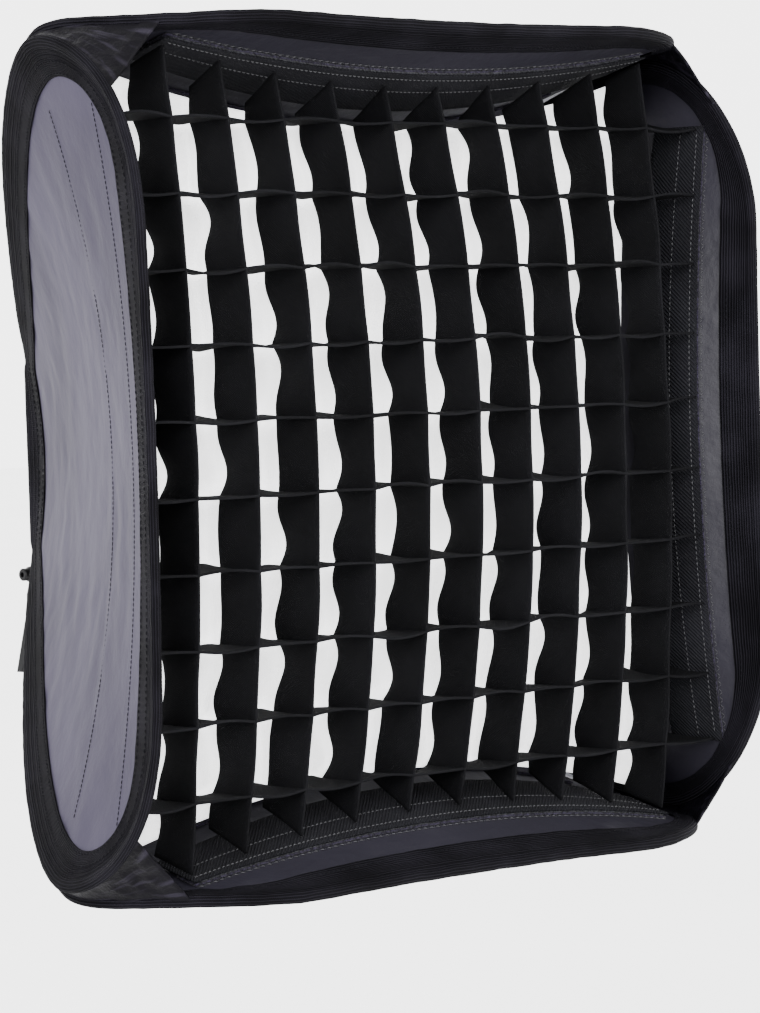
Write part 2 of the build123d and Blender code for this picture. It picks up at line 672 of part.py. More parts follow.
with BuildPart() as base_shelf:
    with BuildSketch(Plane.XY.offset(SHELF_LOW)):
        with BuildLine():
            Polyline(*platform(PLATFORM_Y, TAPER_Y[1]), close=True)
        make_face()
    extrude(amount=SHELF_T)
    fillet(base_shelf.edges().filter_by(Axis.Z).group_by(Axis.Y)[-1], 6)
    box_between((-EAR_OUT, PLATFORM_Y, PIVOT_H + 19), (EAR_OUT, EAR_R, SHELF_LOW + 1))
    for side_x in (EAR_IN, -EAR_OUT):
        with BuildSketch(Plane.YZ.offset(side_x)):
            with Locations((0, PIVOT_H)):
                Circle(EAR_R)
            with Locations((0, PIVOT_H + 10)):
                Rectangle(2 * EAR_R, 20)
        extrude(amount=EAR_OUT - EAR_IN)
    with BuildSketch(Plane.YZ.offset(-EAR_OUT)):
        with Locations((0, PIVOT_H)):
            Circle(TILT_BOLT_R + 0.03)
    extrude(amount=2 * EAR_OUT, mode=Mode.SUBTRACT)
    with BuildSketch(Plane(origin=(0, EAR_R, UMBRELLA_Z), x_dir=(1, 0, 0), z_dir=(0, -1, 0))):
        Circle(UMBRELLA_R)
    extrude(amount=2 * EAR_R, mode=Mode.SUBTRACT)
    with BuildSketch(Plane.YZ):
        with Locations((0, UMBRELLA_Z)):
            Circle(UMBRELLA_SCREW_R + RUN)
    extrude(amount=EAR_OUT, mode=Mode.SUBTRACT)
    with BuildSketch(Plane.XY.offset(SHELF_LOW + 3)):
        with Locations(*ROD_SPOTS):
            Circle(ROD_R + 0.02)
    extrude(amount=SHELF_T, mode=Mode.SUBTRACT)
base_shelf.part.label = "base_shelf"
export_step(base_shelf.part, "parts/base_shelf.step")

with BuildPart() as top_bridge:
    with BuildSketch(Plane.XY.offset(BRIDGE_Z)):
        with BuildLine():
            Polyline(*platform(PLATFORM_Y, TAPER_Y[1]), close=True)
        make_face()
        with Locations(*ROD_SPOTS):
            Circle(ROD_R + 0.02, mode=Mode.SUBTRACT)
        with Locations((0, JAW_Y)):
            Circle(CLAMP_SCREW_R + RUN, mode=Mode.SUBTRACT)
    extrude(amount=BRIDGE_T)
    chamfer(top_bridge.faces().sort_by(Axis.Z)[-1].outer_wire().edges(), 1.0)
top_bridge.part.label = "top_bridge"
export_step(top_bridge.part, "parts/top_bridge.step")

PAD_W = 52.0
PAD_Y = 8.5
PAD_GROOVES = 6
with BuildPart() as shelf_pad:
    with BuildSketch(Plane.XY.offset(SHELF_TOP + 0.02)):
        with Locations((0, PAD_Y)):
            RectangleRounded(PAD_W, 27, 4)
    extrude(amount=3)
    with BuildSketch(Plane.XY.offset(SHELF_TOP + 3.02)):
        with Locations((0, PAD_Y)):
            with GridLocations(8, 0, PAD_GROOVES, 1):
                Rectangle(2, 23)
    extrude(amount=-1, mode=Mode.SUBTRACT)
shelf_pad.part.label = "shelf_pad"
export_step(shelf_pad.part, "parts/shelf_pad.step")

with BuildPart() as guide_rods:
    with BuildSketch(Plane.XY.offset(SHELF_LOW + 3.05)):
        with Locations(*ROD_SPOTS):
            Circle(ROD_R)
    extrude(amount=BRIDGE_TOP - SHELF_LOW - 3.5)
    chamfer(guide_rods.edges().group_by(Axis.Z)[-1], 0.5)
guide_rods.part.label = "guide_rods"
export_step(guide_rods.part, "parts/guide_rods.step")

POCKET_TOP = JAW_Z + 5.1
FOOT_R = 6.0
JAW_FRONT_Y = -6.6
JAW_END_Y = 22.5
with BuildPart() as clamp_jaw:
    with BuildSketch(Plane.XY.offset(JAW_Z)):
        with BuildLine():
            Polyline(*platform(JAW_FRONT_Y, JAW_END_Y), close=True)
        make_face()
        with Locations(*ROD_SPOTS):
            Circle(ROD_R + RUN, mode=Mode.SUBTRACT)
    extrude(amount=JAW_T)
    chamfer(clamp_jaw.faces().sort_by(Axis.Z)[-1].outer_wire().edges(), 1.2)
    with BuildSketch(Plane.XY.offset(JAW_Z)):
        with Locations((0, JAW_Y)):
            Circle(CLAMP_SCREW_R + RUN)
    extrude(amount=JAW_T, mode=Mode.SUBTRACT)
    with BuildSketch(Plane.XY.offset(JAW_Z)):
        with Locations((0, JAW_Y)):
            Circle(FOOT_R + RUN)
    extrude(amount=POCKET_TOP - JAW_Z, mode=Mode.SUBTRACT)
clamp_jaw.part.label = "clamp_jaw"
export_step(clamp_jaw.part, "parts/clamp_jaw.step")

with BuildPart() as jaw_pad:
    with BuildSketch(Plane.XY.offset(JAW_Z - 3.02)):
        with Locations((0, PAD_Y)):
            RectangleRounded(PAD_W, 25, 4)
    extrude(amount=3)
    with BuildSketch(Plane.XY.offset(JAW_Z - 3.02)):
        with Locations((0, PAD_Y)):
            with GridLocations(8, 0, PAD_GROOVES, 1):
                Rectangle(2, 21)
    extrude(amount=1, mode=Mode.SUBTRACT)
jaw_pad.part.label = "jaw_pad"
export_step(jaw_pad.part, "parts/jaw_pad.step")

CLAMP_KNOB_Z = BRIDGE_TOP + 21.5
with BuildPart() as clamp_screw:
    with BuildSketch(Plane.XY.offset(POCKET_TOP - 4.1)):
        with Locations((0, JAW_Y)):
            Circle(FOOT_R)
    extrude(amount=4)
    with BuildSketch(Plane.XY.offset(POCKET_TOP - 0.2)):
        with Locations((0, JAW_Y)):
            Circle(CLAMP_SCREW_R)
    extrude(amount=CLAMP_KNOB_Z + 12 - POCKET_TOP)
clamp_screw.part.label = "clamp_screw"
export_step(clamp_screw.part, "parts/clamp_screw.step")


def knob(base, radius, height, bore):
    """Fluted knob that stands on its base plane, bored for its screw."""
    with BuildPart() as grip:
        with BuildSketch(base):
            Circle(radius)
            with PolarLocations(radius * 1.12, 8):
                Circle(radius * 0.22, mode=Mode.SUBTRACT)
        extrude(amount=height)
        with BuildSketch(base):
            Circle(radius * 0.55)
        extrude(amount=-1.5)
        chamfer(grip.faces().sort_by(SortBy.AREA)[-1].outer_wire().edges(), 0.05 * radius)
        with BuildSketch(base.offset(-1.5)):
            Circle(bore)
        extrude(amount=1.5 + 0.75 * height, mode=Mode.SUBTRACT)
    return grip


clamp_knob = knob(Plane(origin=(0, JAW_Y, CLAMP_KNOB_Z + 1.5)), 15, 15, CLAMP_SCREW_R + 0.02)
clamp_knob.part.label = "clamp_knob"
export_step(clamp_knob.part, "parts/clamp_knob.step")

# ---- umbrella lock ------------------------------------------------------------------
UMBRELLA_KNOB_X = EAR_OUT + 4
with BuildPart() as umbrella_lock_screw:
    with BuildSketch(Plane.YZ.offset(UMBRELLA_R + 0.5)):
        with Locations((0, UMBRELLA_Z)):
            Circle(UMBRELLA_SCREW_R)
    extrude(amount=UMBRELLA_KNOB_X + 8 - UMBRELLA_R - 0.5)
    chamfer(umbrella_lock_screw.edges().group_by(Axis.X)[0], 0.5)
umbrella_lock_screw.part.label = "umbrella_lock_screw"
export_step(umbrella_lock_screw.part, "parts/umbrella_lock_screw.step")

umbrella_base = Plane(origin=(UMBRELLA_KNOB_X + 1.5, 0, UMBRELLA_Z), z_dir=(1, 0, 0))
umbrella_lock_knob = knob(umbrella_base, 8.5, 11, UMBRELLA_SCREW_R + 0.02)
umbrella_lock_knob.part.label = "umbrella_lock_knob"
export_step(umbrella_lock_knob.part, "parts/umbrella_lock_knob.step")

# ---- tilt joint ---------------------------------------------------------------------
BOLT_END = 57.0
with BuildPart() as tilt_bolt:
    with BuildSketch(Plane.YZ.offset(-BOLT_END)):
        with Locations((0, PIVOT_H)):
            Circle(TILT_BOLT_R)
    extrude(amount=BOLT_END + EAR_OUT + 0.4)
    with BuildSketch(Plane.YZ.offset(EAR_OUT + 0.3)):
        with Locations((0, PIVOT_H)):
            RegularPolygon(7, 6)
    extrude(amount=5.2)
    chamfer(tilt_bolt.edges().group_by(Axis.X)[-1], 0.4)
tilt_bolt.part.label = "tilt_bolt"
export_step(tilt_bolt.part, "parts/tilt_bolt.step")

WASHER_X = EAR_OUT + 0.3
HUB_X = WASHER_X + 1.8
with BuildPart() as tilt_washer:
    with BuildSketch(Plane.YZ.offset(-WASHER_X)):
        with Locations((0, PIVOT_H)):
            Circle(9)
            Circle(TILT_BOLT_R + 0.1, mode=Mode.SUBTRACT)
    extrude(amount=-1.5)
tilt_washer.part.label = "tilt_washer"
export_step(tilt_washer.part, "parts/tilt_washer.step")

BUSH_R = 6.0
BUSH_L = 22.0
HUB_END = BOLT_END + 0.5
ARM_TOP = (-44.0, PIVOT_H - 2)  # x and z of the arm's thick end
ARM_TIP = (-66.0, PIVOT_H - 73)
with BuildPart() as tilt_lever:
    with BuildSketch(Plane.XY.offset(ARM_TIP[1])):
        with Locations((ARM_TIP[0], 0)):
            RectangleRounded(5, 8, 1.5)
    with BuildSketch(Plane.XY.offset(ARM_TOP[1])):
        with Locations((ARM_TOP[0], 0)):
            RectangleRounded(11, 14, 3)
    loft()
    with BuildSketch(Plane(origin=(0, 0, PIVOT_H), x_dir=(-1, 0, 0), z_dir=(0, 1, 0))):
        with BuildLine():
            Polyline(
                (HUB_X, 0),
                (HUB_X, 10.5),
                (HUB_X + 10, 10.5),
                (HUB_END - 1, 5.6),
                (HUB_END, 4.8),
                (HUB_END, 0),
                close=True,
            )
        make_face()
    revolve(axis=Axis((0, 0, PIVOT_H), (1, 0, 0)))
    with BuildSketch(Plane.YZ.offset(-HUB_X)):
        with Locations((0, PIVOT_H)):
            Circle(BUSH_R + 0.02)
    extrude(amount=-BUSH_L, mode=Mode.SUBTRACT)
    with BuildSketch(Plane.YZ.offset(-HUB_X)):
        with Locations((0, PIVOT_H)):
            Circle(TILT_BOLT_R + RUN)
    extrude(amount=-60, mode=Mode.SUBTRACT)
tilt_lever.part.label = "tilt_lever"
export_step(tilt_lever.part, "parts/tilt_lever.step")

with BuildPart() as lever_bush:
    with BuildSketch(Plane.YZ.offset(-HUB_X - 0.05)):
        with Locations((0, PIVOT_H)):
            Circle(BUSH_R)
            Circle(TILT_BOLT_R + RUN, mode=Mode.SUBTRACT)
    extrude(amount=-BUSH_L + 0.1)
lever_bush.part.label = "lever_bush"
export_step(lever_bush.part, "parts/lever_bush.step")

with BuildPart() as lever_cap:
    with BuildSketch(Plane.YZ.offset(-HUB_END - 0.1)):
        with Locations((0, PIVOT_H)):
            Circle(4.7)
    extrude(amount=-5)
    chamfer(lever_cap.edges().group_by(Axis.X)[0], 0.7)
    with BuildSketch(Plane.YZ.offset(-HUB_END - 5.1)):
        with Locations((0, PIVOT_H)):
            RegularPolygon(2.2, 6)
    extrude(amount=2.5, mode=Mode.SUBTRACT)
lever_cap.part.label = "lever_cap"
export_step(lever_cap.part, "parts/lever_cap.step")

# ---- stand receiver -----------------------------------------------------------------
LOCK_Z = 18.0
LOCK_R = 4.0
LOCK_BOSS_END = 24.0
with BuildPart() as stand_receiver:
    with BuildSketch(Plane.XY):
        Circle(RECEIVER_R)
    extrude(amount=PIVOT_H - EAR_R - 0.5)
    with BuildSketch(Plane.YZ.offset(-LUG_HALF)):
        with Locations((0, PIVOT_H)):
            Circle(EAR_R)
        with Locations((0, (PIVOT_H + SOCKET_DEPTH + 4) / 2)):
            Rectangle(2 * EAR_R - 1, PIVOT_H - SOCKET_DEPTH - 4)
    extrude(amount=2 * LUG_HALF)
    with BuildSketch(Plane.YZ):
        with Locations((0, LOCK_Z)):
            Circle(9)
    extrude(amount=LOCK_BOSS_END)
    with BuildSketch(Plane.XY):
        Circle(SOCKET_R)
    extrude(amount=SOCKET_DEPTH, mode=Mode.SUBTRACT)
    with BuildSketch(Plane.YZ):
        with Locations((0, LOCK_Z)):
            Circle(LOCK_R + RUN)
    extrude(amount=LOCK_BOSS_END, mode=Mode.SUBTRACT)
    with BuildSketch(Plane.YZ.offset(-LUG_HALF)):
        with Locations((0, PIVOT_H)):
            Circle(TILT_BOLT_R + RUN)
    extrude(amount=2 * LUG_HALF, mode=Mode.SUBTRACT)
stand_receiver.part.label = "stand_receiver"
export_step(stand_receiver.part, "parts/stand_receiver.step")

TIP_T = 2.0
with BuildPart() as stand_lock_tip:
    with BuildSketch(Plane.YZ.offset(SOCKET_R + 0.4)):
        with Locations((0, LOCK_Z)):
            Circle(3.4)
    extrude(amount=TIP_T)
stand_lock_tip.part.label = "stand_lock_tip"
export_step(stand_lock_tip.part, "parts/stand_lock_tip.step")

with BuildPart() as stand_lock_screw:
    with BuildSketch(Plane.YZ.offset(SOCKET_R + 0.45 + TIP_T)):
        with Locations((0, LOCK_Z)):
            Circle(LOCK_R)
    extrude(amount=LOCK_BOSS_END + 14 - SOCKET_R - TIP_T - 0.45)
stand_lock_screw.part.label = "stand_lock_screw"
export_step(stand_lock_screw.part, "parts/stand_lock_screw.step")

lock_base = Plane(origin=(LOCK_BOSS_END + 5, 0, LOCK_Z), z_dir=(1, 0, 0))
stand_lock_knob = knob(lock_base, 13, 14, LOCK_R + 0.02)
stand_lock_knob.part.label = "stand_lock_knob"
export_step(stand_lock_knob.part, "parts/stand_lock_knob.step")
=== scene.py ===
import json
from math import cos, pi, radians, sin

import bmesh
import bpy
import numpy as np
from mathutils import Matrix, Vector, noise


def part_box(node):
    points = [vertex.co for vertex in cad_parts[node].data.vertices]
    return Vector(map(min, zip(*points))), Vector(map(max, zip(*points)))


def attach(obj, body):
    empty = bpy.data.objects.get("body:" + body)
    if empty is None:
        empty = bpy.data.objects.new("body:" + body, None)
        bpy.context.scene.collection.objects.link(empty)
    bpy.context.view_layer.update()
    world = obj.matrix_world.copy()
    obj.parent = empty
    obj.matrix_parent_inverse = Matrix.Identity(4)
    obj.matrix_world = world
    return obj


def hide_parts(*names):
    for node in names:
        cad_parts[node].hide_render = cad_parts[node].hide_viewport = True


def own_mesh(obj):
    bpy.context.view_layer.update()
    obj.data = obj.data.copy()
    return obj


# Looks of the square pop-up softbox on its tilting flash bracket, in metres.
# u runs across a side panel, v outwards from the optical axis, y from front to back.

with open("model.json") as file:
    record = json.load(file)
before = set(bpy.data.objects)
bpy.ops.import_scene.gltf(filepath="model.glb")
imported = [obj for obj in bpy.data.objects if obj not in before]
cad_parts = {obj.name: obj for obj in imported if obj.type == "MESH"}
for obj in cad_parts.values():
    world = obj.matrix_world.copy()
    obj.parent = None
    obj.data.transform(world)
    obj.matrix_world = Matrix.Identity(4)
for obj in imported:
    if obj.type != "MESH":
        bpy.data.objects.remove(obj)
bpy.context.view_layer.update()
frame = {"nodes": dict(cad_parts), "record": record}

# ---- driving sizes, as in the CAD part ----------------------------------------------
AXIS_Z = sum(corner.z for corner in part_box("bayonet_ring")) / 2  # optical axis
RIM_HALF = 0.287
RIM_Y = -0.431
REAR_HALF = 0.074
REAR_Y = -0.036
SEAM_BULGE = 0.058
SEAM_SHAPE = 0.77
CORNER_R = 0.140
REAR_CORNER_R = 0.009
REAR_TUCK = 0.002  # the loops' rear corners lie this far inside the line of the seam
LOOP_SPREAD = 0.003
LOOP_REAR_V = REAR_HALF + 0.0035
LOOP_FRONT_HALF = 0.290
LOOP_FRONT_Y = RIM_Y + 0.006
LOOP_FLARE = 0.0633
LOOP_BLEND = 0.005
HEM = 0.008
PLY = 0.001
LAYER_GAP = 0.0003
TAPE = 0.0015
SLANT = 1.13  # length along a panel for each unit of y
PITCH = 0.050
SLATS = 10
SLAT_T = 0.0009
SLAT_DEPTH = 0.040
GRID_Y = -0.387
GRID_SPAN = 0.275
CENTRE_BOW = 0.030
SIDE_BOW = 0.0095
TOP_SAG = 0.0157
BAND_Y = -0.386
BAND_W = 0.020
SIDE_LEAD = 0.008
BORDER_W = 0.040
BORDER_T = 0.0012
BORDER_HALF_L = 0.227  # half the length of the border, and of each tape, on a side
GRID_LOOP_HALF_L = 0.225
GRID_HOOK_HALF_L = 0.222
DIFFUSER_LOOP_HALF_L = 0.190
PANEL_STITCH_HALF_L = 0.235
LINING_Y = -0.308
LINING_T = 0.0005
DIFFUSER_Y = (-0.353, -0.329)
DIFFUSER_HALF_H = 0.285
DIFFUSER_T = 0.0008
DIFFUSER_BAND_Y = (-0.326, -0.310)
DIFFUSER_INSET = 0.006
DIFFUSER_CORNER = 0.014
DIFFUSER_CUT = 0.506  # the corners are cut off where |x| + |z| reaches this
DIFFUSER_FREE = 0.205  # the cloth is held flat by its hook tape from here out
HOOK_DROP = PLY + LAYER_GAP + TAPE + LAYER_GAP
BORDER_DROP = HOOK_DROP + TAPE + LAYER_GAP
SLAT_DROP = BORDER_DROP + BORDER_T + LAYER_GAP
GUSSET_Y = (-0.312, -0.400)  # from the end on the seam to the hem
SIDES = {"top": 0, "right": 90, "bottom": 180, "left": 270}

# Widths of the binding on the outer and the inner face of a panel.
OUTER_BAND = 0.041
SEAM_BAND = 0.030
REAR_BAND = 0.044
INNER_CORNER_R = 0.080  # rounding of the outer band's inner edge
INNER_BAND = 0.026
CREST_INSET = 0.006
CREST_R = 0.0038
BINDING_T = 0.0008

random = np.random.default_rng(7)


# ---- shape of the fabric shell ------------------------------------------------------
def share(y):
    return np.clip((y - RIM_Y) / (REAR_Y - RIM_Y), 0, 1)


def mid_half(y):
    return RIM_HALF + (REAR_HALF - RIM_HALF) * share(y)


def seam_bulge(y):
    return 0.002 + SEAM_BULGE * np.sin(pi * (0.03 + 0.97 * share(y)) ** SEAM_SHAPE)


def seam_half(y):
    return mid_half(y) + seam_bulge(y)


def loop_half(y):
    """Half the width of a steel loop: the seam's curve, held in near the front."""
    seam = seam_half(y) - LOOP_SPREAD
    front = LOOP_FRONT_HALF - (y - LOOP_FRONT_Y) * LOOP_FLARE
    return -LOOP_BLEND * np.log(np.exp(-seam / LOOP_BLEND) + np.exp(-front / LOOP_BLEND))


def skin(y, u):
    """Outer face of a side panel: its distance from the optical axis."""
    half = loop_half(y)
    return mid_half(y) + (half + 2 * LOOP_SPREAD - mid_half(y)) * (u / half) ** 2


def panel_half(y):
    inside = np.clip(CORNER_R - (y - RIM_Y) * SLANT, 0, CORNER_R)
    return loop_half(y) - HEM - CORNER_R + np.sqrt(CORNER_R**2 - inside**2)


def at(turn, u, v, y):
    """Points in the row frame from places on a side."""
    a = radians(turn)
    u, v, y = np.broadcast_arrays(u, v, y)
    return np.stack([u * cos(a) + v * sin(a), y, AXIS_Z - u * sin(a) + v * cos(a)], -1)


def band_front(turn):
    return BAND_Y - (SIDE_LEAD if turn % 180 else 0)


def rough(points, size, seed=0.0):
    """Smooth noise between -1 and 1 at points[..., 3], with features of that size."""
    shift = Vector((seed, seed * 1.7, -seed))
    flat = [noise.noise(Vector(p) / size + shift) for p in points.reshape(-1, 3)]
    return np.array(flat).reshape(points.shape[:-1])


# ---- meshes -------------------------------------------------------------------------
def mesh_object(name, points, faces, corner_uv, face_slots=None):
    mesh = bpy.data.meshes.new(name)
    mesh.from_pydata(points.reshape(-1, 3).tolist(), [], faces.tolist())
    layer = mesh.uv_layers.new(name="cloth")
    layer.data.foreach_set("uv", corner_uv.astype(np.float32).ravel())
    if face_slots is not None:
        mesh.polygons.foreach_set("material_index", face_slots.astype(np.int32))
    bm = bmesh.new()
    bm.from_mesh(mesh)
    bmesh.ops.recalc_face_normals(bm, faces=bm.faces)
    bm.to_mesh(mesh)
    bm.free()
    mesh.shade_smooth()
    made = bpy.data.objects.new(name, mesh)
    bpy.context.scene.collection.objects.link(made)
    return made


def quads(rows, columns, wrap_rows, wrap_columns):
    """Corner places of each quad in a lattice, before wrapping."""
    r, c = np.meshgrid(
        np.arange(rows if wrap_rows else rows - 1),
        np.arange(columns if wrap_columns else columns - 1),
        indexing="ij",
    )
    r, c = r.ravel(), c.ravel()
    return np.stack([r, r, r + 1, r + 1], -1), np.stack([c, c + 1, c + 1, c], -1)


def ring_uv(uv):
    """The lattice's uv with its first column repeated, for a lattice that wraps."""
    return np.concatenate([uv, uv[:, :1]], 1)


def normals_of(points):
    across = np.cross(np.gradient(points, axis=1), np.gradient(points, axis=0))
    return across / np.maximum(np.linalg.norm(across, axis=-1, keepdims=True), 1e-12)


def sheet_object(name, middle, thickness, uv):
    """Closed thin sheet round a lattice of points; its inner face has material slot 1."""
    rows, columns = middle.shape[:2]
    half = normals_of(middle) * (np.broadcast_to(thickness, (rows, columns)) / 2)[..., None]
    ring = np.concatenate([middle + half, (middle - half)[:, ::-1]], 1)
    ring_coords = ring_uv(np.concatenate([uv, uv[:, ::-1]], 1))
    r, c = quads(rows, 2 * columns, False, True)
    faces = r * 2 * columns + c % (2 * columns)
    slots = (c[:, 0] >= columns).astype(int)
    corner_uv = ring_coords[r, c]
    caps, cap_uv = [], []
    for row in (0, rows - 1):
        j = np.arange(columns - 1)
        ends = np.stack([j, j + 1, 2 * columns - 2 - j, 2 * columns - 1 - j], -1)
        caps.append(row * 2 * columns + ends)
        cap_uv.append(ring_coords[row, ends])
    faces = np.concatenate([faces, *caps])
    corner_uv = np.concatenate([corner_uv, *cap_uv])
    slots = np.concatenate([slots, np.zeros(2 * (columns - 1), int)])
    return mesh_object(name, ring, faces, corner_uv, slots)


def swept_ring(name, rings, uv):
    """Closed tube from rings[station, place], wrapped both ways."""
    rows, columns = rings.shape[:2]
    r, c = quads(rows, columns, True, True)
    faces = (r % rows) * columns + c % columns
    return mesh_object(name, rings, faces, uv[r, c])


def stitches(name, path, normal, pitch, length, radius, slant=0.0):
    """Row of separate thread stitches along a path, each a bent, tapered five-sided tube."""
    steps = np.linalg.norm(np.diff(path, axis=0), axis=1)
    run = np.concatenate([[0], np.cumsum(steps)])
    places = np.arange(pitch / 2, run[-1], pitch)
    along = np.stack([np.interp(places, run, path[:, k]) for k in range(3)], -1)
    ahead = np.stack([np.interp(places + pitch / 4, run, path[:, k]) for k in range(3)], -1)
    out = np.stack([np.interp(places, run, normal[:, k]) for k in range(3)], -1)
    forward = ahead - along
    forward /= np.maximum(np.linalg.norm(forward, axis=1, keepdims=True), 1e-12)
    side = np.cross(out, forward)
    lean = np.where(np.arange(len(places)) % 2, slant, -slant)[:, None]
    points, faces = [], []
    for k, (shift, rise, size) in enumerate([(-0.5, -0.4, 0.5), (0, 0.5, 1), (0.5, -0.4, 0.5)]):
        for i in range(5):
            a = 2 * pi * i / 5
            spot = along + forward * shift * length + side * shift * lean
            spot = spot + out * radius * (rise + size * sin(a)) + side * radius * size * cos(a)
            points.append(spot)
    points = np.stack(points, 1)
    count = len(places)
    for i in range(5):
        j = (i + 1) % 5
        for ring in (0, 5):
            faces.append([ring + i, ring + j, ring + 5 + j, ring + 5 + i])
    faces = np.array(faces)[None] + 15 * np.arange(count)[:, None, None]
    faces = faces.reshape(-1, 4).tolist()
    for ring in (0, 10):
        faces += (15 * np.arange(count)[:, None] + ring + np.arange(5)).tolist()
    mesh = bpy.data.meshes.new(name)
    mesh.from_pydata(points.reshape(-1, 3).tolist(), [], faces)
    bm = bmesh.new()
    bm.from_mesh(mesh)
    bmesh.ops.recalc_face_normals(bm, faces=bm.faces)
    bm.to_mesh(mesh)
    bm.free()
    mesh.shade_smooth()
    made = bpy.data.objects.new(name, mesh)
    bpy.context.scene.collection.objects.link(made)
    return made


def dress(piece, body, slot_name, *materials):
    """Give a piece its materials and the body that it rides on. slot_name is not used."""
    for material in materials:
        piece.data.materials.append(material)
    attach(piece, body)
    return piece


# ---- materials ----------------------------------------------------------------------
def add(tree, kind, inputs=None, **settings):
    made = tree.nodes.new(kind)
    for key, value in settings.items():
        setattr(made, key, value)
    for key, value in (inputs or {}).items():
        if isinstance(value, bpy.types.NodeSocket):
            tree.links.new(value, made.inputs[key])
        else:
            made.inputs[key].default_value = value
    return made


def calc(tree, operation, a, b=0.0):
    return add(tree, "ShaderNodeMath", {0: a, 1: b}, operation=operation).outputs[0]


def new_material(name, roughness, metallic=0.0, **sockets):
    made = bpy.data.materials.new(name)
    made.use_nodes = True
    shader = made.node_tree.nodes["Principled BSDF"]
    shader.inputs["Roughness"].default_value = roughness
    shader.inputs["Metallic"].default_value = metallic
    for key, value in sockets.items():
        shader.inputs[key.replace("_", " ")].default_value = value
    return made, made.node_tree, shader


def noise_of(tree, scale, detail=3.0, coordinates=None):
    if coordinates is None:
        coordinates = add(tree, "ShaderNodeTexCoord").outputs["Object"]
    inputs = {"Vector": coordinates, "Scale": scale, "Detail": detail}
    return add(tree, "ShaderNodeTexNoise", inputs).outputs["Fac"]


def blend_colours(tree, fac, low, high, start=0.35, end=0.65):
    ramp = add(tree, "ShaderNodeValToRGB", {"Fac": fac})
    ramp.color_ramp.elements[0].position = start
    ramp.color_ramp.elements[0].color = (*low, 1)
    ramp.color_ramp.elements[1].position = end
    ramp.color_ramp.elements[1].color = (*high, 1)
    return ramp.outputs["Color"]


def scaled(colour, factor):
    return tuple(min(1.0, c * factor) for c in colour)


def set_bump(tree, shader, height, distance, strength=1.0):
    inputs = {"Height": height, "Distance": distance, "Strength": strength}
    bump = add(tree, "ShaderNodeBump", inputs)
    tree.links.new(bump.outputs["Normal"], shader.inputs["Normal"])


def cloth(name, colour, roughness, thread, relief, twill=False, speck=0.0, spread=0.3, **sockets):
    """Woven cloth: crossing or diagonal threads, slow tone changes and light specks."""
    made, tree, shader = new_material(name, roughness, **sockets)
    uv = add(tree, "ShaderNodeUVMap", uv_map="cloth").outputs["UV"]
    split = add(tree, "ShaderNodeSeparateXYZ", {"Vector": uv})
    x, y = split.outputs["X"], split.outputs["Y"]
    turns = 2 * pi / thread
    first = calc(tree, "ADD", x, y) if twill else x
    threads = calc(tree, "SINE", calc(tree, "MULTIPLY", first, turns))
    if not twill:
        cross = calc(tree, "SINE", calc(tree, "MULTIPLY", y, turns))
        threads = calc(tree, "MULTIPLY", threads, cross)
    slow = noise_of(tree, 14.0)
    fine = noise_of(tree, 900.0, 1.0)
    tone = calc(tree, "ADD", calc(tree, "MULTIPLY", threads, 0.10), slow)
    colours = blend_colours(tree, tone, scaled(colour, 1 - spread), scaled(colour, 1 + spread))
    if speck:
        dots = calc(tree, "GREATER_THAN", fine, 0.66)
        mixed = add(tree, "ShaderNodeMix", data_type="RGBA", blend_type="ADD")
        tree.links.new(dots, mixed.inputs["Factor"])
        tree.links.new(colours, mixed.inputs["A"])
        mixed.inputs["B"].default_value = (speck, speck, speck, 1)
        colours = mixed.outputs["Result"]
    tree.links.new(colours, shader.inputs["Base Color"])
    height = calc(tree, "ADD", threads, calc(tree, "MULTIPLY", fine, 1.5))
    set_bump(tree, shader, height, relief)
    return made


def ribbed_binding(name, colour, rib, relief):
    """Woven binding tape with ribs along it, finely pitted."""
    made, tree, shader = new_material(name, 0.75, Specular_IOR_Level=0.025)
    uv = add(tree, "ShaderNodeUVMap", uv_map="cloth").outputs["UV"]
    split = add(tree, "ShaderNodeSeparateXYZ", {"Vector": uv})
    ribs = calc(tree, "SINE", calc(tree, "MULTIPLY", split.outputs["Y"], 2 * pi / rib))
    weft = calc(tree, "SINE", calc(tree, "MULTIPLY", split.outputs["X"], 2 * pi / 0.0014))
    slow = noise_of(tree, 22.0)
    fine = noise_of(tree, 1100.0, 1.0)
    # painted highlights: the colour goes lighter along the rib crests and darker between them, mixed
    # with slow tone changes at random
    tone = calc(tree, "ADD", calc(tree, "MULTIPLY", ribs, 0.18), slow)
    colours = blend_colours(tree, tone, scaled(colour, 0.45), scaled(colour, 2.3), 0.3, 0.75)
    tree.links.new(colours, shader.inputs["Base Color"])
    height = calc(tree, "ADD", ribs, calc(tree, "MULTIPLY", weft, 0.3))
    height = calc(tree, "ADD", height, fine)
    set_bump(tree, shader, height, relief)
    return made


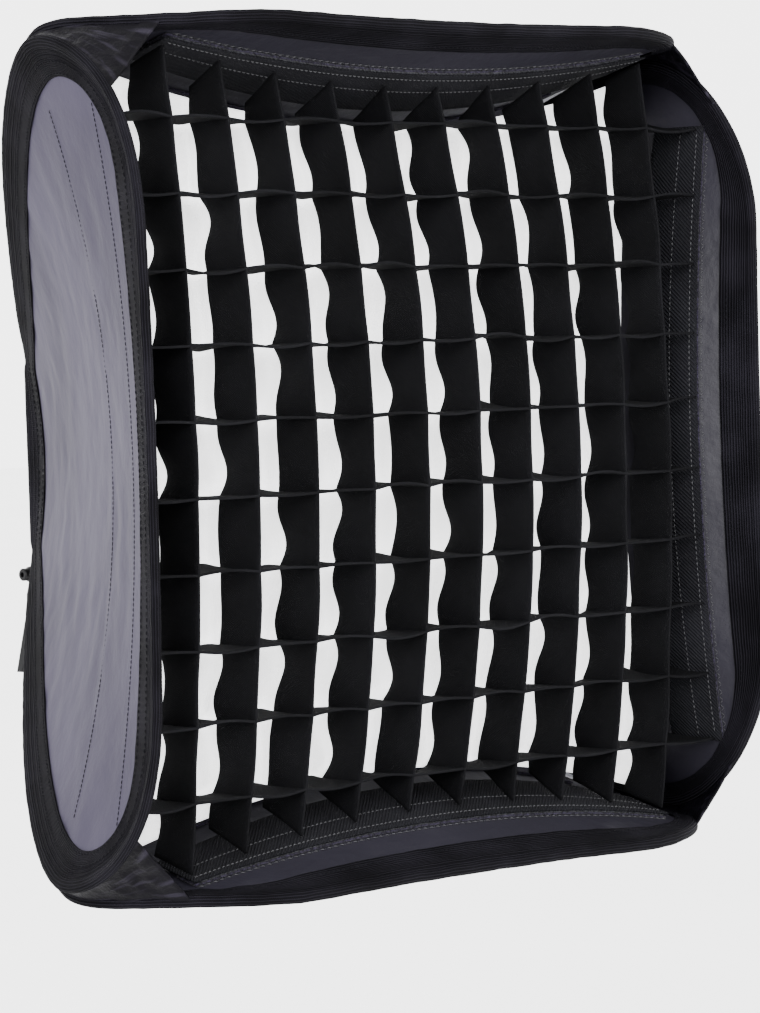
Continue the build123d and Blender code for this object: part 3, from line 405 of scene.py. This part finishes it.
def nylon(name, colour, roughness, crinkle, spread=0.15, painted_gloss=1.0, **sockets):
    """Coated nylon: satin, with soft creases and slow tone changes.

    A gloss factor above 1 paints paler streaks into the colour along the cloth's folds, that many
    times as bright: painted highlights standing in for the gloss on the folds.
    """
    made, tree, shader = new_material(name, roughness, **sockets)
    slow = noise_of(tree, 7.0, 4.0)
    colours = blend_colours(tree, slow, scaled(colour, 1 - spread), scaled(colour, 1 + spread))
    # painted highlights: paler streaks in the colour stand in for the gloss along the folds
    if painted_gloss > 1:
        uv = add(tree, "ShaderNodeUVMap", uv_map="cloth").outputs["UV"]
        along = add(tree, "ShaderNodeMapping", {"Vector": uv, "Scale": (1.0, 0.22, 1.0)})
        folds = noise_of(tree, 150.0, 4.0, along.outputs["Vector"])
        painted_gloss_streaks = blend_colours(tree, folds, (1, 1, 1), (painted_gloss,) * 3, 0.52, 0.74)
        mixed = add(tree, "ShaderNodeMix", data_type="RGBA", blend_type="MULTIPLY", clamp_result=False)
        mixed.inputs["Factor"].default_value = 1.0
        tree.links.new(colours, mixed.inputs["A"])
        tree.links.new(painted_gloss_streaks, mixed.inputs["B"])
        colours = mixed.outputs["Result"]
    tree.links.new(colours, shader.inputs["Base Color"])
    creases = noise_of(tree, 55.0, 5.0)
    grain = noise_of(tree, 1500.0, 1.0)
    height = calc(tree, "ADD", creases, calc(tree, "MULTIPLY", grain, 0.05))
    set_bump(tree, shader, height, crinkle)
    return made


def pile(name, colour):
    """Napped loop tape: matt fuzz with a violet cast."""
    made, tree, shader = new_material(name, 0.95, Specular_IOR_Level=0.05, Sheen_Weight=0.05)
    tufts = noise_of(tree, 480.0, 4.0)
    colours = blend_colours(tree, tufts, scaled(colour, 0.4), scaled(colour, 3.0), 0.4, 0.75)
    tree.links.new(colours, shader.inputs["Base Color"])
    set_bump(tree, shader, tufts, 0.0016)
    return made


def metal(name, colour, roughness, metallic, grain_scale, grain, wear):
    """Metal or moulded plastic: fine grain, uneven gloss and edges rubbed lighter."""
    made, tree, shader = new_material(name, roughness, metallic, Specular_IOR_Level=0.07)
    edges = add(tree, "ShaderNodeNewGeometry").outputs["Pointiness"]
    slow = noise_of(tree, 40.0, 4.0)
    fine = noise_of(tree, grain_scale, 2.0)
    tone = blend_colours(tree, slow, scaled(colour, 0.85), scaled(colour, 1.15))
    rubbed = blend_colours(tree, edges, (0, 0, 0), (1, 1, 1), 0.52, 0.60)
    mixed = add(tree, "ShaderNodeMix", data_type="RGBA")
    amount = calc(tree, "MULTIPLY", calc(tree, "MULTIPLY", rubbed, slow), wear)
    tree.links.new(amount, mixed.inputs["Factor"])
    tree.links.new(tone, mixed.inputs["A"])
    mixed.inputs["B"].default_value = (*scaled(colour, 4.0), 1)
    tree.links.new(mixed.outputs["Result"], shader.inputs["Base Color"])
    limits = {"Value": slow, "To Min": roughness * 0.8, "To Max": roughness * 1.2}
    uneven = add(tree, "ShaderNodeMapRange", limits)
    tree.links.new(uneven.outputs["Result"], shader.inputs["Roughness"])
    set_bump(tree, shader, fine, grain)
    return made


MATT = {"Specular_IOR_Level": 0.04}
nylon_grey = nylon("nylon_grey", (0.0270, 0.0240, 0.0370), 0.6, 0.0012, **MATT)
nylon_inner = nylon(
    "nylon_inner", (0.0066, 0.0060, 0.0092), 0.45, 0.0012, Specular_IOR_Level=0.15
)
# the black nylon of the gussets and the collar carries painted highlight streaks, up to six times as
# bright as its colour
nylon_black = nylon(
    "nylon_black",
    (0.0016, 0.0014, 0.0021),
    0.33,
    0.0042,
    spread=0.5,
    painted_gloss=6.0,
    Specular_IOR_Level=0.03,
)
silver = nylon("silver_coating", (0.72, 0.72, 0.75), 0.38, 0.0030)
silver.node_tree.nodes["Principled BSDF"].inputs["Metallic"].default_value = 0.85
binding_tape = ribbed_binding("binding_tape", (0.0036, 0.0033, 0.0046), 0.0021, 0.0008)
# the diffuser cloth glows with emission 1.5: painted light standing in for light coming through the
# cloth, though it is no lamp
glowing_white_cloth = cloth(
    "diffuser_white_glowing",
    (0.86, 0.86, 0.88),
    0.8,
    0.0012,
    0.00012,
    spread=0.02,
    Emission_Color=(1.0, 1.0, 1.0, 1),
    Emission_Strength=1.5,
)
grid_black = cloth(
    "grid_black", (0.0022, 0.0022, 0.0027), 0.9, 0.0016, 0.0003, speck=0.004, **MATT
)
border_twill = cloth(
    "border_twill", (0.0050, 0.0050, 0.0062), 0.9, 0.0030, 0.0006, twill=True, speck=0.007, **MATT
)
loop_pile = pile("loop_pile", (0.0060, 0.0048, 0.0095))
hook_pile = pile("hook_pile", (0.0075, 0.0075, 0.0095))
thread_dark = new_material("thread_dark", 0.8, Base_Color=(0.003, 0.003, 0.004, 1), **MATT)[0]
thread_grey = new_material("thread_grey", 0.6, Base_Color=(0.010, 0.010, 0.012, 1))[0]

node_materials = {
    "spring_steel": metal("steel_bright", (0.16, 0.16, 0.17), 0.28, 1.0, 900.0, 0.00004, 0.2),
    "bare_alloy": metal("alloy_machined", (0.18, 0.18, 0.19), 0.34, 1.0, 700.0, 0.00006, 0.2),
    "black_alloy": metal("alloy_black", (0.0032, 0.0032, 0.0036), 0.45, 0.0, 1300.0, 0.00025, 0.5),
    "zinc_steel": metal("steel_zinc", (0.13, 0.13, 0.14), 0.32, 1.0, 800.0, 0.00005, 0.2),
    "black_plastic": metal("plastic_black", (0.0026, 0.0026, 0.0030), 0.5, 0.0, 1800.0, 0.00015, 0.3),
    "lever_plastic": metal("plastic_lever", (0.0026, 0.0026, 0.0030), 0.42, 0.0, 1500.0, 0.00012, 0.4),
    "black_rubber": metal("rubber_black", (0.0024, 0.0024, 0.0028), 0.8, 0.0, 1000.0, 0.0002, 0.1),
    "brass_tip": metal("brass_turned", (0.20, 0.14, 0.06), 0.3, 1.0, 700.0, 0.00005, 0.2),
}
for subpart in frame["record"]["subparts"]:
    if subpart["material_slot"] in node_materials:
        shown = frame["nodes"][subpart["node"]]
        shown.data.materials.clear()
        shown.data.materials.append(node_materials[subpart["material_slot"]])
cap = frame["nodes"]["lever_cap"]  # zinc steel like the other screws' ends, but blackened
cap.data.materials.clear()
cap.data.materials.append(node_materials["lever_plastic"])


def panel_points(turn, ys, halves, drop, columns):
    """Lattice on a side panel, drop inside its outer face, and its cloth coordinates."""
    spread = np.linspace(-1, 1, columns)[None, :]
    u = halves[:, None] * spread
    y = np.broadcast_to(ys[:, None], u.shape)
    uv = np.stack([u, y * SLANT], -1)
    return at(turn, u, skin(y, u) - drop, y), uv


def gentle_rows(start, end, count, power=1.0):
    return start + (end - start) * np.linspace(0, 1, count) ** power


for side, turn in SIDES.items():
    front_rows = gentle_rows(RIM_Y + 0.004, -0.36, 24, 1.5)
    ys = np.concatenate([front_rows, gentle_rows(-0.355, REAR_Y - 0.005, 72)])
    points, uv = panel_points(turn, ys, panel_half(ys), PLY / 2, 96)
    outward = normals_of(points)
    across = uv[..., 0]
    stretched = np.stack([across * 0.9, uv[..., 1] * 2.2, np.full_like(across, turn)], -1)
    folds = 0.0011 * rough(stretched, 0.045, 3.0) + 0.0006 * rough(points, 0.02, 5.0)
    folds = np.maximum(folds, -0.0008)  # a deeper fold would go through the lining
    edge_fade = np.clip((panel_half(ys)[:, None] - abs(across)) / 0.03, 0, 1)
    end_fade = np.clip((ys - RIM_Y - 0.02) / 0.04, 0, 1)
    end_fade = end_fade * np.clip((REAR_Y - 0.02 - ys) / 0.04, 0, 1)
    tape_fade = np.clip(abs(ys - band_front(turn) - BAND_W / 2) / 0.03 - 0.4, 0, 1)
    points = points + outward * (folds * edge_fade * (end_fade * tape_fade)[:, None])[..., None]
    panel = sheet_object(f"panel_{side}", points, PLY * 0.8, uv)
    dress(panel, "head", "outer_nylon", nylon_grey, nylon_inner)
    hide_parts(f"side_panel_{side}")

    ys = gentle_rows(LINING_Y, -0.043, 60)
    drop = PLY + LAYER_GAP + LINING_T / 2
    points, uv = panel_points(turn, ys, panel_half(ys) - 0.004, drop, 80)
    crinkle = 0.0007 * (abs(rough(points, 0.024, 8.0)) + abs(rough(points, 0.009, 2.0)) * 0.5)
    points = points - normals_of(points) * crinkle[..., None]
    lining = sheet_object(f"lining_{side}", points, LINING_T, uv)
    dress(lining, "head", "silver_lining", silver, silver)
    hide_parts(f"side_lining_{side}")


# ---- bindings -----------------------------------------------------------------------
def near_rear(y):
    """From 0 to 1 over the last stretch before the rear edge."""
    return np.clip(1 - (REAR_Y - y) / 0.03, 0, 1)


def outline(front_inset, side_inset, rear_inset, radius, rear_radius):
    """Right half of a panel's outline in u and y, from the rear middle to the rim middle."""
    front = RIM_Y + front_inset / SLANT
    rear = REAR_Y - rear_inset / SLANT

    def half(y):
        return loop_half(y) - side_inset * (0.7 + 0.9 * share(y)) - REAR_TUCK * near_rear(y)

    rear_run = np.linspace(0, 1, 8)[:-1]
    angle = np.radians(np.linspace(90, 0, 8))[:-1]
    seam_y = np.linspace(rear - rear_radius, front + radius / SLANT, 60)
    turn_in = np.radians(np.linspace(0, 90, 30))[1:]
    rim_run = np.linspace(1, 0, 30)[1:]
    rear_y = rear - rear_radius * (1 - np.sin(angle))
    corner_y = front + radius / SLANT * (1 - np.sin(turn_in))
    u = np.concatenate(
        [
            rear_run * (half(rear) - rear_radius),
            half(rear_y) - rear_radius * (1 - np.cos(angle)),
            half(seam_y),
            half(corner_y) - radius * (1 - np.cos(turn_in)),
            rim_run * (half(front) - radius),
        ]
    )
    y = np.concatenate(
        [np.full(len(rear_run), rear), rear_y, seam_y, corner_y, np.full(len(rim_run), front)]
    )
    return u, y


def full_outline(*sizes):
    """The whole closed outline, from the rear middle round the right and the left."""
    u, y = outline(*sizes)
    return np.concatenate([u, -u[-2:0:-1]]), np.concatenate([y, y[-2:0:-1]])


def binding_profile():
    """Inset and rise of the folded tape: its outer face round the crest, then its inside back."""
    outer = np.linspace(OUTER_BAND, 0.006, 26)
    ribs = 0.00035 * np.cos(2 * pi * outer / 0.0055) * (outer < 0.021)
    rise = 0.0013 + 0.0022 * np.clip(1 - (outer - 0.004) / 0.013, 0, 1) ** 1.5 + ribs
    angle = np.radians(np.linspace(60, 300, 11))
    crest_inset = 0.0015 + CREST_R * np.cos(angle) * 1.1
    crest_rise = CREST_R * np.sin(angle) * 1.1
    inner = np.linspace(0.007, INNER_BAND, 14)
    drop = 0.0024 + 0.0019 * np.clip(1 - (inner - 0.005) / 0.010, 0, 1) ** 1.5
    inset = np.concatenate([outer, crest_inset, inner])
    rise = np.concatenate([rise, crest_rise, -drop])
    slope_inset, slope_rise = np.gradient(inset), np.gradient(rise)
    size = np.hypot(slope_inset, slope_rise)
    inside_inset = inset + BINDING_T * slope_rise / size * -1
    inside_rise = rise + BINDING_T * slope_inset / size
    return np.concatenate([inset, inside_inset[::-1]]), np.concatenate([rise, inside_rise[::-1]])


insets, rises = binding_profile()
outline_u, outline_y = full_outline(0.0, 0.0, 0.0, CORNER_R, REAR_CORNER_R)
inner_u, inner_y = full_outline(OUTER_BAND, SEAM_BAND, REAR_BAND, INNER_CORNER_R, 0.004)
band_width = np.hypot(inner_u - outline_u, (inner_y - outline_y) * SLANT)


def inward_share(inset):
    """How far an inset is from the loop's line to the band's edge, at each place round it."""
    wide = (inset - CREST_INSET) * (band_width - CREST_INSET) / (OUTER_BAND - CREST_INSET)
    return np.where(inset < CREST_INSET, inset, CREST_INSET + wide) / band_width


length = np.concatenate([[0], np.cumsum(np.hypot(np.diff(outline_u), np.diff(outline_y)))])
profile_run = np.concatenate([[0], np.cumsum(np.hypot(np.diff(insets), np.diff(rises)))])
shares = np.stack([inward_share(inset) for inset in insets], 1)
lattice_u = outline_u[:, None] + (inner_u - outline_u)[:, None] * shares
lattice_y = outline_y[:, None] + (inner_y - outline_y)[:, None] * shares
lift = near_rear(outline_y) * np.clip(LOOP_REAR_V - skin(outline_y, outline_u), -0.003, 0.0035)
near_crest = np.clip(1 - insets / 0.02, 0, 1)
from_corner = np.hypot(abs(outline_u) - 0.248, (outline_y + 0.390) * SLANT)
gathered = np.clip(1.25 - from_corner / 0.11, 0, 1)
binding_uv = np.stack(np.broadcast_arrays(length[:, None], profile_run[None, :]), -1)
closing = np.full((1, len(insets), 2), 0.0)
closing[0] = binding_uv[0] + (length[-1] + length[1], 0)
binding_uv = ring_uv(np.concatenate([binding_uv, closing]))


def rows_of_stitches(name, turn, inset, rise, pitch, thread, slot_name):
    """Closed row of stitches on the binding, at an inset from the loop's line."""
    step = inward_share(inset)
    u = outline_u + (inner_u - outline_u) * step
    y = outline_y + (inner_y - outline_y) * step
    v = skin(y, u) + lift * max(0, 1 - inset / 0.02) + rise
    path = at(turn, u, v, y)
    out = np.sign(rise) * (at(turn, u, v + 0.01, y) - path) / 0.01
    row = stitches(name, path, out, pitch, pitch * 0.62, 0.00038)
    return dress(row, "head", slot_name, thread)


for side, turn in SIDES.items():
    height = skin(lattice_y, lattice_u) + rises[None, :] + lift[:, None] * near_crest[None, :]
    rings = at(turn, lattice_u, height, lattice_y)
    pucker = 0.00045 * rough(rings, 0.011, 4.0 + turn)
    pleats = np.sin(2 * pi * length / 0.0085 + 3 * rough(rings[:, 0], 0.05, turn))
    across_band = np.sin(pi * np.clip(insets / OUTER_BAND, 0, 1))
    pucker = pucker + 0.0005 * (gathered * pleats)[:, None] * across_band
    outward = (rings - at(turn, lattice_u, height - 0.01, lattice_y)) / 0.01
    rings = rings + outward * pucker[..., None]
    binding = swept_ring(f"binding_{side}", rings, binding_uv)
    dress(binding, "head", "binding", binding_tape)
    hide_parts(f"loop_sleeve_{side}")
    for number, (inset, rise) in enumerate([(0.0225, 0.0017), (0.0375, 0.0017), (0.0200, -0.0028)]):
        name = f"binding_stitches_{side}_{number + 1}"
        rows_of_stitches(name, turn, inset, rise, 0.0042, thread_dark, "binding")


# ---- tapes, border and their stitching ----------------------------------------------
def strip(turn, y_range, drop, thickness, widest, rows=8, columns=120, wave=0.0):
    """Lattice of a strip along a side panel's inner face."""
    ys = np.linspace(*y_range, rows)
    halves = np.minimum(panel_half(ys), widest)
    points, uv = panel_points(turn, ys, halves, drop + thickness / 2, columns)
    if wave:
        points = points + normals_of(points) * (wave * rough(points, 0.03, 1.0))[..., None]
    return points, uv


def line_on_side(turn, y, drop, widest, inner=True):
    """Path along a side at one y, and the direction that faces away from the cloth."""
    u = np.linspace(-widest, widest, 160)
    v = skin(np.full_like(u, y), u) - drop
    path = at(turn, u, v, np.full_like(u, y))
    out = at(turn, u, v + (-0.01 if inner else 0.01), np.full_like(u, y)) - path
    return path, out / 0.01


for side, turn in SIDES.items():
    front = band_front(turn)
    band = (front, front + BAND_W)
    tape_drop = PLY + LAYER_GAP
    points, uv = strip(turn, band, tape_drop, TAPE, GRID_LOOP_HALF_L, wave=0.0002)
    tape = sheet_object(f"grid_loop_tape_{side}", points, TAPE, uv)
    dress(tape, "head", "loop_tape", loop_pile)
    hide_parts("grid_loop_tape")

    points, uv = strip(turn, DIFFUSER_BAND_Y, tape_drop, TAPE, DIFFUSER_LOOP_HALF_L)
    tape = sheet_object(f"diffuser_loop_tape_{side}", points, TAPE, uv)
    dress(tape, "head", "loop_tape", loop_pile)
    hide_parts("diffuser_loop_tape")

    points, uv = strip(turn, band, HOOK_DROP, TAPE, GRID_HOOK_HALF_L)
    tape = sheet_object(f"grid_hook_tape_{side}", points, TAPE, uv)
    dress(tape, "grid", "hook_tape", hook_pile)
    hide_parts("grid_hook_tape")

    edges = (front - 0.001, front + BORDER_W - 0.001)
    points, uv = strip(turn, edges, BORDER_DROP, BORDER_T, BORDER_HALF_L, 12, 150, 0.0004)
    border = sheet_object(f"grid_border_{side}_cloth", points, BORDER_T, uv)
    dress(border, "grid", "grid_cloth", border_twill, border_twill)
    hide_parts("grid_border")

    inner_face = BORDER_DROP + BORDER_T + 0.0002
    for number, y in enumerate((front + 0.0035, front + 0.0170)):
        path, out = line_on_side(turn, y, inner_face, GRID_HOOK_HALF_L)
        name = f"border_stitches_{side}_{number + 1}"
        row = stitches(name, path, out, 0.0040, 0.0027, 0.00042)
        dress(row, "grid", "grid_cloth", thread_grey)
    path, out = line_on_side(turn, front - 0.0012, PLY + 0.0003, GRID_HOOK_HALF_L)
    row = stitches(f"tape_zigzag_{side}", path, out, 0.0030, 0.0022, 0.00045, slant=0.0028)
    dress(row, "head", "loop_tape", thread_grey)
    for number, y in enumerate((front + BAND_W, LINING_Y - 0.002)):
        path, out = line_on_side(turn, y, -0.0001, PANEL_STITCH_HALF_L, inner=False)
        name = f"panel_stitches_{side}_{number + 1}"
        row = stitches(name, path, out, 0.0034, 0.0028, 0.00034)
        dress(row, "head", "outer_nylon", thread_dark)


# ---- seams and corner gussets -------------------------------------------------------
def between_loops(turn, y, columns):
    """Lattice from a side's steel loop to its neighbour's, round the corner between them."""
    loop_u = panel_half(y) + HEM
    loop_v = skin(y, loop_u)
    left = at(turn, loop_u, loop_v, y)[:, None]
    right = at(turn, loop_v, loop_u, y)[:, None]
    return left + (right - left) * np.linspace(0, 1, columns)[None, :, None]


SEAM_END_Y = (REAR_Y - 0.002, GUSSET_Y[0] - 0.006)
SEAM_FLAT = (0.010, 0.40)
for corner, (side, turn) in enumerate(SIDES.items()):
    y = np.linspace(*SEAM_END_Y, 90)
    points = between_loops(turn, y, 7)
    across = np.linspace(0, SEAM_FLAT[0], 7)[None, :]
    uv = np.stack(np.broadcast_arrays(y[:, None] * SLANT, across), -1)
    seam = sheet_object(f"seam_tape_{corner + 1}", points, 0.0012, uv)
    dress(seam, "head", "binding", binding_tape, binding_tape)

GUSSET_ROWS = 46
GUSSET_COLUMNS = 34
for corner, (side, turn) in enumerate(SIDES.items()):
    y = np.linspace(*GUSSET_Y, GUSSET_ROWS)
    down = np.linspace(0, 1, GUSSET_ROWS)[:, None, None]
    over = np.linspace(0, 1, GUSSET_COLUMNS)[None, :, None]
    points = between_loops(turn, y, GUSSET_COLUMNS)
    plane_normal = normals_of(points).mean((0, 1))
    plane_normal = plane_normal / np.linalg.norm(plane_normal)
    fold = 0.0050 * rough(points, 0.030, 6.0 + corner)
    fold = fold + 0.0036 * abs(rough(points, 0.014, 2.0 + corner))
    loose = 4 * over[..., 0] * (1 - over[..., 0]) * down[..., 0]
    points = points + plane_normal * (fold * loose * (1 - 0.7 * down[..., 0] ** 6))[..., None]
    uv = np.concatenate([over * 0.07 * np.ones_like(down), down * 0.1 * np.ones_like(over)], -1)
    hem = 1 + 1.6 * (down[..., 0] > 0.90) * np.ones_like(loose)
    gusset = sheet_object(f"gusset_{corner + 1}", points, 0.0007 * hem, uv)
    dress(gusset, "head", "gusset_nylon", nylon_black, nylon_black)
    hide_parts("corner_gussets")
    row_at = int(GUSSET_ROWS * 0.88)
    facing = np.broadcast_to(plane_normal, points[row_at].shape)
    path = points[row_at] + facing * 0.0005
    row = stitches(f"gusset_stitches_{corner + 1}", path, facing, 0.003, 0.002, 0.0003)
    dress(row, "head", "gusset_nylon", thread_dark)


# ---- diffuser -----------------------------------------------------------------------
def diffuser_lattice(count, shrink, behind):
    """Lattice over the diffuser's outline, whose sides are pulled in, bowed forward."""
    edge_y = DIFFUSER_Y[1]
    mid = float(mid_half(edge_y)) - DIFFUSER_INSET - shrink
    tip = float(seam_half(edge_y)) - DIFFUSER_INSET - DIFFUSER_CORNER - shrink
    s, t = np.meshgrid(np.linspace(-1, 1, count), np.linspace(-1, 1, count), indexing="ij")
    out = np.maximum(np.maximum(abs(s), abs(t)), 1e-9)
    edge_x = abs(t / out) * (mid + (tip - mid) * (s / out) ** 2)
    edge_z = abs(s / out) * (mid + (tip - mid) * (t / out) ** 2)
    draw_in = 1 - (1 - np.minimum(1, DIFFUSER_CUT / (edge_x + edge_z))) * out**2
    x = t * (mid + (tip - mid) * s**2) * draw_in
    z = s * (mid + (tip - mid) * t**2) * draw_in
    bow = DIFFUSER_Y[0] - edge_y
    y = edge_y + bow * (1 - (z / DIFFUSER_HALF_H) ** 2) + behind
    return x, z, y


x, z, y = diffuser_lattice(110, 0.0, DIFFUSER_T / 2)
points = np.stack([x, y, AXIS_Z + z], -1)
room = np.clip((DIFFUSER_FREE - np.maximum(abs(x), abs(z))) / 0.05, 0, 1)
tall = np.stack([x * 1.6, y * 0, z * 0.5], -1)
waves = 0.0022 * rough(tall, 0.06, 9.0) + 0.0008 * rough(points, 0.03, 1.0)
points[..., 1] += room * waves + 0.0012 * room
diffuser = sheet_object("diffuser_cloth", points, DIFFUSER_T, np.stack([x, z], -1))
dress(diffuser, "diffuser", "diffuser_cloth", glowing_white_cloth, glowing_white_cloth)
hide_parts("front_diffuser")


def frame_strip(name, turn, body, material):
    """One side of the diffuser's hook tape, behind its edge."""
    edge_y = DIFFUSER_Y[1]
    mid = float(mid_half(edge_y)) - DIFFUSER_INSET
    tip = float(seam_half(edge_y)) - DIFFUSER_INSET - DIFFUSER_CORNER
    t = np.linspace(-0.92, 0.92, 90)[None, :]
    inset = np.linspace(0.001, 0.018, 5)[:, None]
    v = mid + (tip - mid) * t**2 - inset
    u = t * (tip - inset)
    vertical = u if turn % 180 else v
    bow = DIFFUSER_Y[0] - edge_y
    depth = edge_y + bow * (1 - (vertical / DIFFUSER_HALF_H) ** 2) + DIFFUSER_T + 0.0010
    strip_uv = np.stack(np.broadcast_arrays(u, inset), -1)
    piece = sheet_object(name, at(turn, u, v, depth), TAPE, strip_uv)
    return dress(piece, body, "hook_tape", material)


for side, turn in SIDES.items():
    tape = frame_strip(f"diffuser_hook_tape_{side}_strip", turn, "diffuser", hook_pile)
    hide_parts("diffuser_hook_tape")


# ---- egg-crate slats ----------------------------------------------------------------
def grid_front(x, z):
    fx = 1 - (x / GRID_SPAN) ** 2
    fz = 1 - (z / GRID_SPAN) ** 2
    return GRID_Y - CENTRE_BOW * fx * fz - SIDE_BOW * fz + TOP_SAG * fx


def slat_lattice(place, end_y, front_of, swing, sway):
    """Lattice of a slat: depth from front to rear, run along it and sideways wave.

    swing is the largest sideways wave of the rear edge between two crossings, and sway
    that of the front edge.
    """
    rows, columns = 10, 165
    front_end = float(skin(end_y[0], place)) - SLAT_DROP
    rear_end = float(skin(end_y[1], place)) - SLAT_DROP
    deep = np.linspace(0, 1, rows)[:, None]
    reach = front_end + (rear_end - front_end) * deep
    run = np.linspace(-1, 1, columns)[None, :] * reach
    y = front_of(place, run) + SLAT_DEPTH * deep
    cell = run / PITCH + (SLATS + 1) / 2
    number = np.clip(np.floor(cell).astype(int), 0, SLATS)
    part = cell - np.floor(cell)
    rear_wave = random.uniform(-0.35, 1.0, SLATS + 1) * swing
    rear_twist = random.uniform(-0.7, 0.7, SLATS + 1) * swing
    front_wave = random.uniform(-1.0, 1.0, SLATS + 1) * sway
    arch = np.sin(pi * part)
    double = np.sin(2 * pi * part)
    rear = rear_wave[number] * arch + rear_twist[number] * double
    wave = front_wave[number] * arch * (1 - deep) + rear * deep**1.6
    return deep, run, y, wave


def hem_thickness(deep):
    """Slats are folded over and sewn at the front edge."""
    return SLAT_T * (1 + 0.9 * (deep < 0.12))


def places():
    return [(i - (SLATS - 1) / 2) * PITCH for i in range(SLATS)]


for number, place in enumerate(places()):
    deep, run, y, wave = slat_lattice(place, (-0.375, -0.335), grid_front, 0.0062, 0.0012)
    points = np.stack([place + wave, y, AXIS_Z + run], -1)
    uv = np.stack(np.broadcast_arrays(run, SLAT_DEPTH * deep), -1)
    slat = sheet_object(f"upright_slat_{number + 1}", points, hem_thickness(deep), uv)
    dress(slat, "grid", "grid_cloth", grid_black, grid_black)
    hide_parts("upright_slats")

for number, place in enumerate(places()):
    deep, run, y, wave = slat_lattice(
        place, (-0.388, -0.348), lambda z, x: grid_front(x, z), 0.0060, 0.0034
    )
    points = np.stack([run, y, AXIS_Z + place + wave], -1)
    uv = np.stack(np.broadcast_arrays(run, SLAT_DEPTH * deep), -1)
    slat = sheet_object(f"level_slat_{number + 1}", points, hem_thickness(deep), uv)
    dress(slat, "grid", "grid_cloth", grid_black, grid_black)
    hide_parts("level_slats")


# ---- rear collar --------------------------------------------------------------------
collar_low, collar_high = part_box("rear_collar")
COLLAR_SEAM = 0.0035  # the cloth goes on this far, into the bindings that it is sewn to
collar_half = (collar_high.x - collar_low.x) / 2 + COLLAR_SEAM
around = np.linspace(0, 2 * pi, 161)[:-1]
outward_share = np.linspace(0, 1, 12)
THROAT_R = 0.0475
outer_edge = collar_half / np.maximum(abs(np.cos(around)), abs(np.sin(around)))
radius = THROAT_R + (outer_edge[:, None] - THROAT_R) * outward_share[None, :]
gather = 0.0004 * np.sin(around * 36)[:, None] * np.sin(pi * outward_share)[None, :]
middle_y = (collar_low.y + collar_high.y) / 2
COLLAR_T = 0.0010
x = radius * np.cos(around)[:, None]
y = middle_y - COLLAR_T / 2 + gather
z = AXIS_Z + radius * np.sin(around)[:, None]
front_face = np.stack(np.broadcast_arrays(x, y, z), -1)
collar_ring = np.concatenate([front_face, (front_face + (0, COLLAR_T, 0))[:, ::-1]], 1)
out_and_back = np.r_[outward_share, outward_share[::-1]]
collar_uv = np.stack(np.broadcast_arrays(around[:, None] * 0.06, out_and_back * 0.03), -1)
collar_uv = ring_uv(np.concatenate([collar_uv, collar_uv[:1] + (2 * pi * 0.06, 0)]))
collar = swept_ring("rear_collar_cloth", collar_ring, collar_uv)
dress(collar, "head", "gusset_nylon", nylon_black)
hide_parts("rear_collar")


# ---- catch spring -------------------------------------------------------------------
# The spring closes up against the roof of its bore as the catch is lifted by 6 mm.
coil = bpy.data.objects.new("catch_spring_coil", frame["nodes"]["catch_spring"].data.copy())
bpy.context.scene.collection.objects.link(coil)
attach(coil, "head")
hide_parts("catch_spring")
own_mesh(coil)


# ---- floor, light and camera --------------------------------------------------------
FLOOR_Z = -0.95
floor_material, floor_tree, floor_shader = new_material("floor_pale", 0.9)
floor_patches = noise_of(floor_tree, 0.7)
floor_tone = blend_colours(floor_tree, floor_patches, (0.90, 0.90, 0.90), (0.92, 0.92, 0.92))
floor_tree.links.new(floor_tone, floor_shader.inputs["Base Color"])
floor_mesh = bpy.data.meshes.new("floor")
FLOOR_HALF = 40.0
floor_signs = [(-1, -1), (1, -1), (1, 1), (-1, 1)]
floor_points = [(a * FLOOR_HALF, b * FLOOR_HALF, FLOOR_Z) for a, b in floor_signs]
floor_mesh.from_pydata(floor_points, [], [(0, 1, 2, 3)])
floor_mesh.materials.append(floor_material)
floor = bpy.data.objects.new("floor", floor_mesh)
bpy.context.scene.collection.objects.link(floor)

world = bpy.data.worlds.new("studio")
world.use_nodes = True
world.node_tree.nodes["Background"].inputs["Color"].default_value = (1.0, 1.0, 1.0, 1)
world.node_tree.nodes["Background"].inputs["Strength"].default_value = 4.5
bpy.context.scene.world = world

AIM = Vector((0.0, -0.25, AXIS_Z))


def soft_light(name, place, size, power):
    """Square area light that points at the middle of the softbox."""
    data = bpy.data.lights.new(name, "AREA")
    data.size = size
    data.energy = power
    lamp = bpy.data.objects.new(name, data)
    lamp.location = place
    lamp.rotation_euler = (AIM - Vector(place)).to_track_quat("-Z", "Y").to_euler()
    bpy.context.scene.collection.objects.link(lamp)


soft_light("key_light", (-2.9, -2.2, 0.9), 1.3, 180)
soft_light("fill_light", (-0.4, -3.2, 1.5), 1.6, 110)

camera_data = bpy.data.cameras.new("camera")
camera_data.lens = 142.45
camera_data.sensor_width = 36.0
camera = bpy.data.objects.new("camera", camera_data)
CAMERA_PLACE = Vector((-1.9091, -2.4010, 0.2125))
CAMERA_AXES = (
    (0.733762, -0.678606, -0.032926),
    (0.047547, 0.002946, 0.998859),
    (-0.67774, -0.73449, 0.034428),
)
camera.matrix_world = Matrix.Translation(CAMERA_PLACE) @ Matrix(CAMERA_AXES).transposed().to_4x4()
bpy.context.scene.collection.objects.link(camera)
bpy.context.scene.camera = camera
